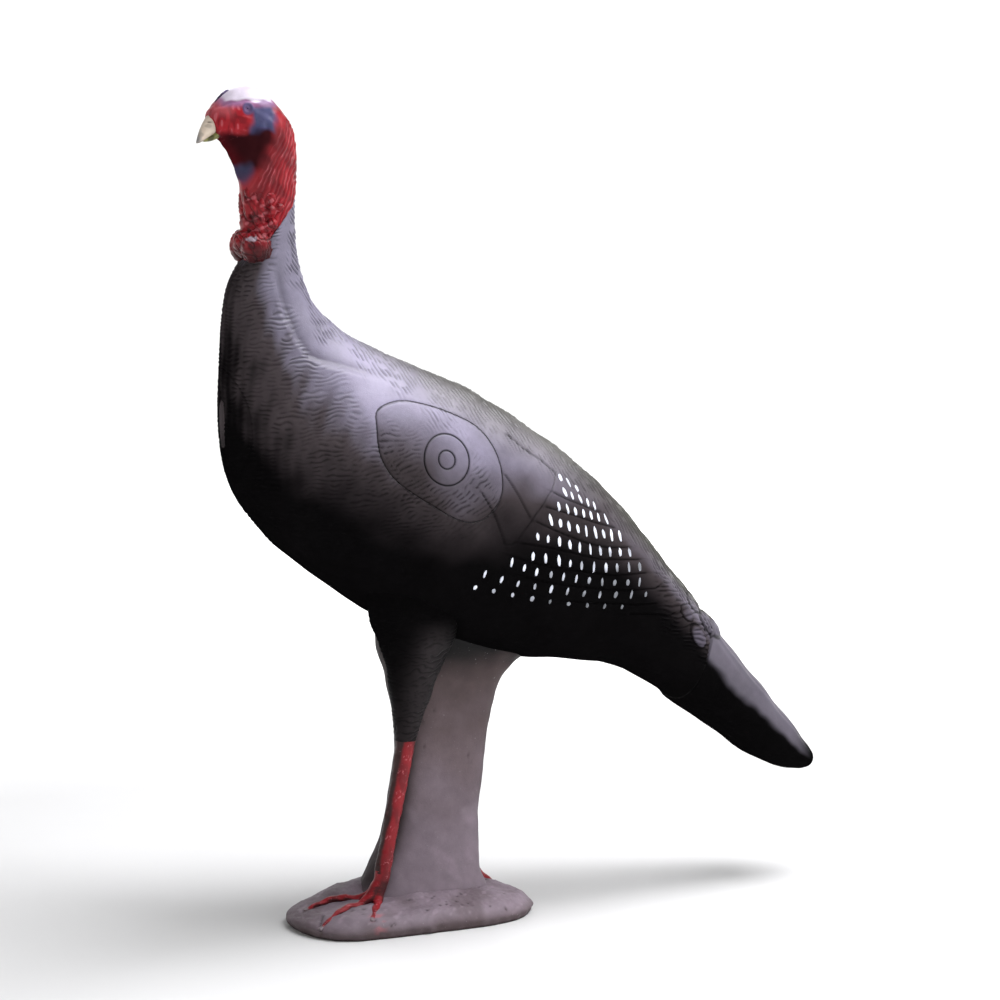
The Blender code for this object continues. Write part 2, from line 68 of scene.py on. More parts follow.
TAIL_STATIONS = (
    (0.3330, 0.2868, 0.2988, 0.1988, 0.0487),
    (0.3510, 0.2630, 0.3255, 0.1790, 0.0462),
    (0.3785, 0.2320, 0.3570, 0.1580, 0.0430),
    (0.4005, 0.2060, 0.3860, 0.1360, 0.0410),
    (0.4320, 0.1690, 0.4195, 0.1185, 0.0390),
    (0.4520, 0.1430, 0.4420, 0.1135, 0.0340),
    (0.4600, 0.1310, 0.4545, 0.1150, 0.0240),
    (0.4625, 0.1260, 0.4595, 0.1190, 0.0130),
)
HEAD_STATIONS = (
    (-0.1155, 0.7225, -0.1665, 0.6610, 0.0215),
    (-0.1140, 0.7380, -0.1660, 0.7000, 0.0190),
    (-0.1135, 0.7600, -0.1715, 0.7380, 0.0200),
    (-0.1170, 0.7860, -0.1795, 0.7600, 0.0235),
    (-0.1325, 0.8085, -0.1855, 0.7700, 0.0250),
    (-0.1555, 0.8270, -0.1890, 0.7745, 0.0240),
    (-0.1770, 0.8250, -0.1925, 0.7775, 0.0210),
    (-0.1915, 0.8150, -0.1960, 0.7810, 0.0175),
    (-0.2000, 0.8055, -0.1980, 0.7860, 0.0120),
    (-0.2025, 0.8000, -0.2000, 0.7900, 0.0070),
)
# Leg column: height, front edge x, rear edge x, half thickness.
COLUMN_STATIONS = (
    (0.0100, -0.0600, 0.0920, 0.0360),
    (0.0300, -0.0520, 0.0840, 0.0300),
    (0.0460, -0.0440, 0.0785, 0.0255),
    (0.0730, -0.0305, 0.0770, 0.0225),
    (0.1000, -0.0230, 0.0770, 0.0215),
    (0.1420, -0.0150, 0.0810, 0.0210),
    (0.1810, -0.0110, 0.0865, 0.0215),
    (0.2100, -0.0130, 0.0925, 0.0220),
    (0.2330, -0.0185, 0.1000, 0.0240),
    (0.2550, -0.0220, 0.1200, 0.0280),
    (0.2750, -0.0280, 0.1600, 0.0360),
    (0.3100, -0.0300, 0.1900, 0.0450),
)
# Left thigh: height, front edge x, rear edge x, middle y, half thickness.
THIGH_STATIONS = (
    (0.3700, -0.0300, 0.0700, -0.0400, 0.0180),
    (0.3450, -0.0560, 0.0520, -0.0430, 0.0235),
    (0.3120, -0.0560, 0.0385, -0.0450, 0.0262),
    (0.2900, -0.0470, 0.0305, -0.0460, 0.0260),
    (0.2700, -0.0395, 0.0240, -0.0420, 0.0230),
    (0.2500, -0.0345, 0.0160, -0.0385, 0.0200),
    (0.2200, -0.0290, 0.0060, -0.0340, 0.0165),
    (0.2000, -0.0255, 0.0005, -0.0310, 0.0140),
    (0.1860, -0.0230, -0.0030, -0.0290, 0.0120),
)
SHANK_PATH = (
    (-0.0090, -0.0270, 0.2000, 0.0100),
    (-0.0160, -0.0270, 0.1600, 0.0088),
    (-0.0225, -0.0275, 0.1280, 0.0080),
    (-0.0325, -0.0290, 0.0830, 0.0075),
    (-0.0385, -0.0310, 0.0580, 0.0080),
)
RIGHT_LEG_SHIFT = 0.0980
# Toes in plan, as steps from the ankle towards the front and the outer side, with the radius.
LEFT_TOES = (
    ((-0.0230, 0.0030, 0.0046), (-0.0460, 0.0075, 0.0038), (-0.0758, 0.0196, 0.0020)),
    ((-0.0160, -0.0120, 0.0044), (-0.0430, -0.0240, 0.0036), (-0.0745, -0.0255, 0.0018)),
    ((-0.0090, 0.0080, 0.0044), (-0.0165, 0.0210, 0.0038), (-0.0290, 0.0400, 0.0018)),
)
# The hind toe's points also say how far they stand above the mound.
RIGHT_TOES = (
    ((-0.0250, 0.0120, 0.0050), (-0.0450, 0.0180, 0.0042), (-0.0660, 0.0210, 0.0024)),
    ((-0.0220, 0.0030, 0.0048), (-0.0440, 0.0025, 0.0040), (-0.0640, 0.0010, 0.0022)),
    ((-0.0080, 0.0140, 0.0048), (-0.0140, 0.0270, 0.0040), (-0.0170, 0.0330, 0.0022)),
    ((0.0180, -0.0010, 0.0070, 0.0160), (0.0385, -0.0020, 0.0072, 0.0095),
     (0.0540, -0.0040, 0.0032, 0.0025)),
)
ANKLE_DROP = 0.0120
TOE_LIFT = 0.0004
# Ground plate: outline (x, y), then the mound's height and outline scale from its rim inwards, and
# a crack by the front toes (x, y).
BASE_MIDDLE = (0.0200, -0.0020)
BASE_OUTLINE = (
    (-0.1250, 0.0080), (-0.1240, -0.0240), (-0.1130, -0.0540), (-0.0880, -0.0740), (-0.0460, -0.0780),
    (0.0100, -0.0780), (0.0620, -0.0760), (0.1000, -0.0630), (0.1240, -0.0340), (0.1220, -0.0040),
    (0.1000, 0.0240), (0.0600, 0.0500), (0.0150, 0.0680), (-0.0400, 0.0700), (-0.0850, 0.0570),
    (-0.1130, 0.0350),
)
BASE_PROFILE = ((0.0000, 0.970), (0.0040, 0.992), (0.0090, 1.000), (0.0145, 0.955), (0.0190, 0.900),
                (0.0235, 0.820), (0.0285, 0.720), (0.0330, 0.620), (0.0375, 0.520), (0.0410, 0.400),
                (0.0420, 0.200))
CRACK = ((-0.1030, -0.0330), (-0.1085, -0.0420), (-0.1120, -0.0480), (-0.1140, -0.0560))
# Bores that hold the steel tubes in the column and the mound.
BORE_X = (0.0180, 0.0560)
BORE_RADIUS = 0.0093
BORE_TOP = 0.2003
# Scoring core: its egg outline on the flank (x, z), and the rings' centre and radii.
CORE_OUTLINE = (
    (-0.0570, 0.5190), (-0.0340, 0.5260), (-0.0090, 0.5225), (0.0210, 0.5125), (0.0520, 0.4960),
    (0.0680, 0.4680), (0.0670, 0.4350), (0.0500, 0.4130), (0.0240, 0.4090), (-0.0090, 0.4260),
    (-0.0450, 0.4510), (-0.0600, 0.4750), (-0.0610, 0.5020),
)
CORE_GAP = 0.0005
POCKET_REACH = 0.1150
RING_CENTRE = (0.0090, 0.4690)
RING_RADII = (0.0088, 0.0245)
# Egg outline on the breast, in front view: its middle's height, half sizes, and the rings' height.
BREAST_EGG_Z = 0.5070
BREAST_EGG_HALF = (0.0420, 0.0520)
BREAST_RINGS_Z = 0.5000
# Eyes: middle in side view (x, z), ball's radius, and distance of ball and rim from the head's middle.
EYE = (-0.1695, 0.8060)
EYE_RADIUS = 0.0034
EYE_Y = 0.0196
EYE_RIM_Y = 0.0205
# Nostrils in side view (x, z).
NOSTRIL = (-0.2030, 0.7930)
# Beak: root's top and bottom, and tip, of the upper and the lower half.
UPPER_BEAK = ((-0.1955, 0.0, 0.8055), (-0.1925, 0.0, 0.7835), (-0.2140, 0.0, 0.7735))
LOWER_BEAK = ((-0.1925, 0.0, 0.7880), (-0.1905, 0.0, 0.7790), (-0.2080, 0.0, 0.7752))
SNOOD_PATH = (
    (-0.1780, 0.0, 0.8228, 0.0014), (-0.1840, 0.0, 0.8213, 0.0016), (-0.1890, 0.0, 0.8172, 0.0015),
    (-0.1930, 0.0, 0.8132, 0.0011), (-0.1950, 0.0, 0.8100, 0.0006),
)
# Wattle: lumps of skin as middle (x, y, z) and half sizes; y counts outwards on either side.
BULB = (-0.1600, 0.0160, 0.6745)
SIDE_LUMPS = (
    (*BULB, 0.0150, 0.0145, 0.0165),
    (-0.1535, 0.0180, 0.6920, 0.0075, 0.0090, 0.0062),
    (-0.1450, 0.0190, 0.6960, 0.0055, 0.0068, 0.0060),
    (-0.1460, 0.0165, 0.7085, 0.0062, 0.0072, 0.0068),
    (-0.1450, 0.0150, 0.7215, 0.0058, 0.0060, 0.0070),
    (-0.1655, 0.0065, 0.7160, 0.0036, 0.0052, 0.0200),
    (-0.1605, 0.0115, 0.7120, 0.0034, 0.0050, 0.0180),
    (-0.1545, 0.0150, 0.7100, 0.0038, 0.0048, 0.0120),
    (-0.1560, 0.0165, 0.7000, 0.0042, 0.0050, 0.0042),
    (-0.1370, 0.0185, 0.7120, 0.0040, 0.0040, 0.0045),
)
MIDDLE_LUMPS = (
    (-0.1640, 0.0000, 0.6780, 0.0130, 0.0160, 0.0150),
    (-0.1600, 0.0000, 0.6980, 0.0100, 0.0140, 0.0140),
)
# Lines in side view (x, z).
SHOULDER_FOLD = ((-0.1500, 0.6650), (-0.1450, 0.6470), (-0.1420, 0.6280), (-0.1380, 0.6090),
                 (-0.1310, 0.5880), (-0.1200, 0.5700), (-0.1060, 0.5640), (-0.0840, 0.5580),
                 (-0.0540, 0.5500), (-0.0200, 0.5410))
FLANK_STROKES = ((-0.110, 0.500), (-0.070, 0.480), (-0.035, 0.450), (0.020, 0.428), (0.056, 0.445),
                 (0.062, 0.480))
SHOULDER_STROKES = ((0.020, 0.512), (0.060, 0.505), (0.085, 0.490))
BROW = ((-0.198, 0.806), (-0.187, 0.811), (-0.172, 0.8135), (-0.140, 0.8130))
TILE_LINES = (
    ((0.0840, 0.4885), (0.0900, 0.4840), (0.1040, 0.4720), (0.1230, 0.4590), (0.1370, 0.4480)),
    ((0.1390, 0.4500), (0.1340, 0.4400), (0.1270, 0.4310), (0.1215, 0.4265)),
    ((0.0720, 0.4520), (0.0770, 0.4450), (0.0880, 0.4270), (0.0985, 0.4070)),
    ((0.1225, 0.4275), (0.1120, 0.4165), (0.0990, 0.4055)),
    ((0.0440, 0.4370), (0.0550, 0.4180), (0.0630, 0.3990), (0.0680, 0.3830)),
    ((0.1010, 0.4060), (0.0880, 0.3940), (0.0780, 0.3840), (0.0670, 0.3835)),
)
FEATHER_LINES = (
    ((0.1280, 0.4310), (0.1480, 0.4210), (0.1720, 0.4120), (0.1920, 0.4050)),
    ((0.1160, 0.4180), (0.1470, 0.4080), (0.1790, 0.3970), (0.2080, 0.3880)),
    ((0.1020, 0.4050), (0.1330, 0.3910), (0.1660, 0.3775), (0.1930, 0.3705), (0.2260, 0.3680)),
    ((0.0830, 0.3850), (0.1200, 0.3770), (0.1500, 0.3690), (0.1810, 0.3605), (0.2380, 0.3545)),
    ((0.0710, 0.3740), (0.0960, 0.3650), (0.1250, 0.3570), (0.1620, 0.3495), (0.1990, 0.3425),
     (0.2450, 0.3410)),
    ((0.0850, 0.3520), (0.1200, 0.3420), (0.1620, 0.3340), (0.2110, 0.3265), (0.2520, 0.3245),
     (0.2640, 0.3285)),
    ((0.1300, 0.3230), (0.1800, 0.3170), (0.2270, 0.3105), (0.2540, 0.3095)),
    ((0.2150, 0.3020), (0.2400, 0.3000), (0.2690, 0.2955), (0.2780, 0.2985)),
)
# Coverts at the tail's root: middle (x, z), half length, half width, slope, rise.
COVERTS = (
    (0.2930, 0.2950, 0.0105, 0.0062, -0.85, 0.0020),
    (0.3085, 0.3030, 0.0125, 0.0075, -0.90, 0.0014),
    (0.3055, 0.2705, 0.0138, 0.0084, -1.00, 0.0028),
    (0.3265, 0.2795, 0.0175, 0.0088, -0.86, 0.0032),
)
# White dabs in rows between the feather lines: number of dabs, half height, lean, row's line (x, z).
DAB_ROWS = (
    (3, 0.0042, 0.30, (0.1430, 0.4430), (0.1550, 0.4360), (0.1620, 0.4310)),
    (5, 0.0048, 0.22, (0.1440, 0.4290), (0.1650, 0.4200), (0.1830, 0.4120)),
    (7, 0.0050, 0.12, (0.1340, 0.4160), (0.1570, 0.4090), (0.1780, 0.4030), (0.1960, 0.3980)),
    (9, 0.0056, 0.05, (0.1230, 0.4040), (0.1420, 0.3970), (0.1660, 0.3895), (0.1910, 0.3840),
     (0.2110, 0.3800)),
    (10, 0.0050, -0.05, (0.1050, 0.3890), (0.1280, 0.3830), (0.1550, 0.3745), (0.1840, 0.3680),
     (0.2210, 0.3630)),
    (10, 0.0052, -0.08, (0.1000, 0.3700), (0.1270, 0.3640), (0.1600, 0.3555), (0.1900, 0.3510),
     (0.2320, 0.3480)),
    (11, 0.0043, -0.25, (0.0750, 0.3660), (0.0980, 0.3560), (0.1300, 0.3480), (0.1640, 0.3410),
     (0.1940, 0.3360), (0.2300, 0.3330)),
    (11, 0.0036, -0.35, (0.0460, 0.3560), (0.0780, 0.3450), (0.1130, 0.3375), (0.1480, 0.3300),
     (0.1800, 0.3250), (0.2380, 0.3200)),
    (9, 0.0027, -0.35, (0.0370, 0.3430), (0.0590, 0.3380), (0.0960, 0.3285), (0.1330, 0.3205),
     (0.1680, 0.3150), (0.2080, 0.3100)),
)

# ---- Paint colours (linear) --------------------------------------------------------------------

VIOLET = np.array((0.225, 0.205, 0.285))
BACK_BROWN = np.array((0.178, 0.163, 0.188))
BRONZE = np.array((0.050, 0.041, 0.044))
BLACK = np.array((0.0032, 0.0030, 0.0032))
STONE = np.array((0.200, 0.160, 0.190))
STONE_DARK = np.array((0.070, 0.048, 0.046))
RED = np.array((0.340, 0.015, 0.023))
DEEP_RED = np.array((0.110, 0.006, 0.010))
PINK = np.array((0.640, 0.170, 0.200))
BLUE = np.array((0.038, 0.050, 0.115))
MAROON = np.array((0.016, 0.0045, 0.0055))
WHITE = np.array((0.500, 0.450, 0.530))
DARK_OLIVE = np.array((0.040, 0.040, 0.030))
BONE = np.array((0.560, 0.470, 0.380))
OLIVE = np.array((0.130, 0.130, 0.040))
# Painted light: the colour of the tail's and the coverts' tops, as if lit from above.
LIT_TAIL_TOP = np.array((0.096, 0.085, 0.110))
FOAM = np.array((0.030, 0.027, 0.030))
CORE_WALL = np.array((0.052, 0.046, 0.050))
LILAC = np.array((0.20, 0.15, 0.30))
BEAK_GREY = np.array((0.20, 0.19, 0.18))
NOSTRIL_DARK = np.array((0.05, 0.04, 0.035))
SNOOD_ROOT = np.array((0.10, 0.07, 0.16))
SNOOD_TIP = np.array((0.03, 0.02, 0.05))
CLAW = np.array((0.20, 0.17, 0.19))
UPPER_DAB = np.array((0.74, 0.77, 0.88))
LOWER_DAB = np.array((0.17, 0.18, 0.20))
# The painted shade in hollows and the dust specks are shared by every painted material.
HOLLOW_SHADE_TINT = (0.25, 0.23, 0.25, 1.0)
SPECK = (0.36, 0.34, 0.36, 1.0)
FOAM_SHINE = 0.2
GROUND_SHINE = 0.15
LEG_SHINE = 0.22
SKIN_SHINE = 0.16
# Vertices that no paint has reached yet are white; every painted one is darker than this.
UNPAINTED = 0.99


# ---- Numbers and curves ------------------------------------------------------------------------

def smooth_rows(rows, steps, closed=False):
    """Rows of numbers on a Catmull-Rom curve through the given rows, `steps` to each interval."""
    rows = np.array(rows, float)
    count = len(rows)
    spans = count if closed else count - 1
    result = []
    for index in range(spans):
        start = rows[index]
        end = rows[(index + 1) % count]
        before = rows[index - 1] if closed or index > 0 else 2 * start - end
        after = rows[(index + 2) % count] if closed or index < spans - 1 else 2 * end - start
        for step in range(steps):
            t = step / steps
            slope = end - before
            bend = 2 * before - 5 * start + 4 * end - after
            twist = 3 * start - before - 3 * end + after
            result.append(start + 0.5 * t * (slope + t * (bend + t * twist)))
    if not closed:
        result.append(rows[-1])
    return np.array(result)


def even_points(line, count):
    """That many points at equal spacing along a smooth curve through the line's points."""
    rows = smooth_rows(line, 12)
    lengths = np.concatenate(((0.0,), np.cumsum(np.linalg.norm(np.diff(rows, axis=0), axis=1))))
    wanted = np.linspace(0.0, lengths[-1], count)
    return np.column_stack([np.interp(wanted, lengths, rows[:, k]) for k in range(rows.shape[1])])


def ramp(low, high, values):
    """0 below low, 1 above high, smooth between; low may be the larger one."""
    t = np.clip((values - low) / (high - low), 0.0, 1.0)
    return t * t * (3 - 2 * t)


def bell(values, width):
    return np.exp(-(values / width) ** 2)


def ripple(points, size, seed, count=7):
    """Smooth noise between about -1 and 1: sine waves of about that size in seeded directions."""
    random = np.random.default_rng(seed)
    total = np.zeros(points.shape[:-1])
    for _ in range(count):
        direction = random.normal(size=points.shape[-1])
        direction *= random.uniform(0.6, 1.5) * 2 * math.pi / size / np.linalg.norm(direction)
        total += np.sin(points @ direction + random.uniform(0, 2 * math.pi))
    return total / math.sqrt(count)


def line_distance(points, line, closed=False):
    """Signed distance to a polyline (positive on its left) and the share of its length there."""
    line = np.array(line, float)
    if closed:
        line = np.vstack((line, line[:1]))
    best = np.full(points.shape[:-1], 1e9)
    side = np.ones(points.shape[:-1])
    share = np.zeros(points.shape[:-1])
    lengths = np.linalg.norm(np.diff(line, axis=0), axis=1)
    travelled = 0.0
    for start, end, length in zip(line, line[1:], lengths):
        along = (end - start) / length
        offset = points - start
        t = np.clip(offset @ along, 0.0, length)
        gap = np.linalg.norm(offset - t[..., None] * along, axis=-1)
        turn = along[0] * offset[..., 1] - along[1] * offset[..., 0]
        closer = gap < best
        best = np.where(closer, gap, best)
        side = np.where(closer, np.sign(turn), side)
        share = np.where(closer, travelled + t, share)
        travelled += length
    return best * side, share / travelled


def mix(first, second, amount):
    amount = np.asarray(amount)[..., None]
    return first * (1 - amount) + second * amount


def coats(colours, *layers):
    """Further coats of paint over the first one, each a colour and how far it covers."""
    for colour, cover in layers:
        colours = mix(colours, colour, cover)
    return colours


# ---- Surfaces ----------------------------------------------------------------------------------

def axes(points):
    return points[..., 0], points[..., 1], points[..., 2]


def ring_angles(count):
    return 2 * math.pi * np.arange(count) / count


def polar_radius(outline, middle, angles):
    """Distance from the middle to a closed outline at each of the angles."""
    offsets = np.array(outline) - middle
    return np.interp(angles, np.arctan2(*offsets.T[::-1]), np.hypot(*offsets.T), period=2 * math.pi)


def squircle(angles, power):
    across = np.sign(np.cos(angles)) * np.abs(np.cos(angles)) ** (2 / power)
    side = np.sign(np.sin(angles)) * np.abs(np.sin(angles)) ** (2 / power)
    return across, side


def body_grid(stations, steps, count, power=2.2, bias=0.12, crowd=0.0):
    """Points of a lofted body, rings by stations, and how far towards the back each point lies.

    A positive crowd sets the points closer together on the flanks than on the back and the belly.
    """
    rows = smooth_rows(stations, steps)
    angles = ring_angles(count)
    across, side = squircle(angles + crowd * np.sin(2 * angles), power)
    back = rows[:, (0, 1)]
    belly = rows[:, (2, 3)]
    middle = (back + belly) / 2
    reach = (back - belly) / 2
    points = np.zeros((len(rows), count, 3))
    points[..., (0, 2)] = middle[:, None] + across[None, :, None] * reach[:, None]
    points[..., 1] = rows[:, 4, None] * (side * (1 - bias * across))[None]
    return points, np.broadcast_to(across, points.shape[:2])


def blade_grid(stations, steps, count, power):
    """Level rings from (height, front x, rear x, middle y, half thickness)."""
    rows = smooth_rows(stations, steps)
    across, side = squircle(ring_angles(count), power)
    points = np.zeros((len(rows), count, 3))
    middle = (rows[:, 1] + rows[:, 2]) / 2
    reach = (rows[:, 2] - rows[:, 1]) / 2
    points[..., 0] = middle[:, None] + reach[:, None] * across
    points[..., 1] = rows[:, 3, None] + rows[:, 4, None] * side
    points[..., 2] = rows[:, 0, None]
    return points


def tube_grid(path, steps, count):
    """Round rings square to a smooth path of (x, y, z, radius)."""
    rows = smooth_rows(path, steps)
    centre = rows[:, :3]
    along = np.gradient(centre, axis=0)
    along /= np.linalg.norm(along, axis=1)[:, None]
    side = np.cross(along, (0.0, 0.0, 1.0))
    flat = np.linalg.norm(side, axis=1) < 0.2
    side[flat] = np.cross(along[flat], (0.0, 1.0, 0.0))
    side[0] /= np.linalg.norm(side[0])
    for index in range(1, len(side)):
        carried = side[index - 1] - along[index] * (side[index - 1] @ along[index])
        side[index] = carried / np.linalg.norm(carried)
    other = np.cross(along, side)
    angles = ring_angles(count)
    spokes = np.cos(angles)[None, :, None] * side[:, None] + np.sin(angles)[None, :, None] * other[:, None]
    return centre[:, None] + rows[:, 3, None, None] * spokes


def grid_normals(points):
    """Unit normals of a grid closed round its second axis, pointing away from its middle line."""
    down = np.gradient(points, axis=0)
    around = np.roll(points, -1, axis=1) - np.roll(points, 1, axis=1)
    normals = np.cross(around, down)
    normals /= np.linalg.norm(normals, axis=2)[..., None] + 1e-12
    outward = points - points.mean(axis=1, keepdims=True)
    flip = np.sign((normals * outward).sum(axis=(1, 2)))
    return normals * np.sign(flip.sum())


def raised(points, relief):
    """The grid's points, moved outwards by the relief."""
    return points + grid_normals(points) * relief[..., None]


def arc_lengths(points):
    """Distance along the grid's first axis from its first ring."""
    steps = np.linalg.norm(np.diff(points, axis=0), axis=2)
    return np.vstack((np.zeros((1, points.shape[1])), np.cumsum(steps, axis=0)))


def closed_faces(rings, count, start=0):
    """Faces of a ring grid that begins at vertex `start`, closed by two end points that follow the grid."""
    around = np.arange(count)
    onward = np.roll(around, -1)
    low = start + count * np.arange(rings - 1)[:, None]
    quads = np.stack((low + around, low + onward, low + count + onward, low + count + around), axis=-1)
    top = start + (rings - 1) * count
    end = np.full(count, top + count)
    caps = np.stack(((end, start + onward, start + around), (end + 1, top + around, top + onward)))
    return quads.reshape(-1, 4).tolist() + caps.transpose(0, 2, 1).reshape(-1, 3).tolist()


def closed_mesh(name, points, open_end=False):
    """A mesh object over a ring grid, with a point in the middle of each closed end."""
    rings, count = points.shape[:2]
    verts = np.vstack((points.reshape(-1, 3), points[0].mean(axis=0), points[-1].mean(axis=0))).tolist()
    faces = closed_faces(rings, count)
    if open_end:
        verts, faces = verts[:-1], faces[:-count]
    return mesh_object(name, verts, faces)


def with_caps(values):
    """Grid values as one row per vertex of a closed mesh, its two end points included."""
    flat = values.reshape(values.shape[0] * values.shape[1], *values.shape[2:])
    return np.concatenate((flat, flat[:1], flat[-1:]))


def mesh_object(name, verts, faces):
    mesh = bpy.data.meshes.new(name)
    mesh.from_pydata(verts, [], faces)
    mesh.update()
    made = bpy.data.objects.new(name, mesh)
    bpy.context.scene.collection.objects.link(made)
    face_outwards(mesh)
    mesh.shade_smooth()
    return made


def face_outwards(mesh):
    """Flip the whole mesh if its enclosed volume comes out negative."""
    sheet = bmesh.new()
    sheet.from_mesh(mesh)
    if sheet.calc_volume(signed=True) < 0:
        bmesh.ops.reverse_faces(sheet, faces=sheet.faces)
        sheet.to_mesh(mesh)
    sheet.free()


def read_vertices(item, key="co"):
    """The mesh's vertex positions, or with the key "normal" their normals, as rows."""
    values = np.empty(len(item.data.vertices) * 3, np.float32)
    item.data.vertices.foreach_get(key, values)
    return values.reshape(-1, 3).astype(float)


def move_vertices(item, points):
    item.data.vertices.foreach_set("co", points.astype(np.float32).ravel())
    item.data.update()


def paint(item, colours, shine=0.4):
    """Store one painted colour and shine per vertex, which the piece's material reads."""
    values = np.ones((len(item.data.vertices), 4), np.float32)
    values[:, :3] = np.clip(colours, 0.0, 1.0)
    values[:, 3] = shine
    layer = item.data.color_attributes.new("paint", "FLOAT_COLOR", "POINT")
    layer.data.foreach_set("color", values.ravel())


def apply_modifiers(item):
    shape = bpy.data.meshes.new_from_object(item.evaluated_get(bpy.context.evaluated_depsgraph_get()))
    item.modifiers.clear()
    item.data = shape


def remesh(item, voxel, smoothing):
    """Fuse overlapping shells into one skin, then relax it."""
    fuse = item.modifiers.new("fuse", "REMESH")
    fuse.mode = "VOXEL"
    fuse.voxel_size = voxel
    relax = item.modifiers.new("relax", "SMOOTH")
    relax.iterations = smoothing
    relax.factor = 0.5
    apply_modifiers(item)
    item.data.shade_smooth()


def join(name, items):
    """Join mesh objects into one, keeping the first one's place in the scene."""
    sheet = bmesh.new()
    for item in items:
        sheet.from_mesh(item.data)
    mesh = bpy.data.meshes.new(name)
    sheet.to_mesh(mesh)
    sheet.free()
    for item in items:
        bpy.data.objects.remove(item, do_unlink=True)
    made = bpy.data.objects.new(name, mesh)
    bpy.context.scene.collection.objects.link(made)
    mesh.shade_smooth()
    return made


def cut(item, tool):
    """Cut the tool out of a painted item; the new vertices along the cut get bare foam's colour."""
    knife = item.modifiers.new("cut", "BOOLEAN")
    knife.operation = "DIFFERENCE"
    knife.solver = "MANIFOLD"
    knife.object = tool
    apply_modifiers(item)
    bpy.data.objects.remove(tool, do_unlink=True)
    layer = item.data.color_attributes["paint"]
    values = np.empty(len(item.data.vertices) * 4, np.float32)
    layer.data.foreach_get("color", values)
    values = values.reshape(-1, 4)
    values[values[:, :3].min(axis=1) > UNPAINTED] = (*FOAM, FOAM_SHINE)
    layer.data.foreach_set("color", values.ravel())


def crease(item):
    """Smooth shading, but with its real edges kept sharp."""
    item.data.shade_smooth()
    item.data.set_sharp_from_angle(angle=math.radians(60))


def hand_over(item, material, body, slot, *nodes):
    """Give a finished piece its material and body, and hide the CAD nodes it stands for; the slot is not
    used.
    """
    item.data.materials.clear()
    item.data.materials.append(material)
    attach(item, body)
    if nodes:
        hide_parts(*nodes)


def add_piece(name, points, colours, shine, material, slot, *nodes, tools=()):
    """A painted mesh over a ring grid, less the tools, on the target body; shine may differ by point."""
    made = closed_mesh(name, points)
    paint(made, with_caps(colours), shine if np.isscalar(shine) else with_caps(shine))
    for tool in tools:
        cut(made, tool)
    if tools:
        crease(made)
    hand_over(made, material, TARGET, slot, *nodes)


# ---- Materials ---------------------------------------------------------------------------------

def new_material(name):
    made = bpy.data.materials.new(name)
    made.use_nodes = True
    return made, made.node_tree, made.node_tree.nodes["Principled BSDF"]


def wire(tree, node, sockets, output):
    """Link or set each of the node's sockets, and return the named output."""
    for key, value in sockets.items():
        if isinstance(value, bpy.types.NodeSocket):
            tree.links.new(value, node.inputs[key])
        else:
            node.inputs[key].default_value = value
    return node.outputs[output]


def noise_node(tree, coords, scale, detail=4.0, roughness=0.55):
    sockets = {"Vector": coords, "Scale": scale, "Detail": detail, "Roughness": roughness}
    return wire(tree, tree.nodes.new("ShaderNodeTexNoise"), sockets, "Fac")


def range_node(tree, value, from_low, from_high, to_low, to_high):
    sockets = {"Value": value, "From Min": from_low, "From Max": from_high, "To Min": to_low,
               "To Max": to_high}
    return wire(tree, tree.nodes.new("ShaderNodeMapRange"), sockets, "Result")


def math_node(tree, operation, first, second):
    node = tree.nodes.new("ShaderNodeMath")
    node.operation = operation
    return wire(tree, node, {0: first, 1: second}, "Value")


def blend_node(tree, kind, amount, first, second):
    """Mix two colours, each four numbers or a socket."""
    node = tree.nodes.new("ShaderNodeMix")
    node.data_type = "RGBA"
    node.blend_type = kind
    return wire(tree, node, {0: amount, 6: first, 7: second}, 2)


def add_bump(tree, shader, height, strength, distance):
    sockets = {"Height": height, "Strength": strength, "Distance": distance}
    normal = wire(tree, tree.nodes.new("ShaderNodeBump"), sockets, "Normal")
    tree.links.new(normal, shader.inputs["Normal"])


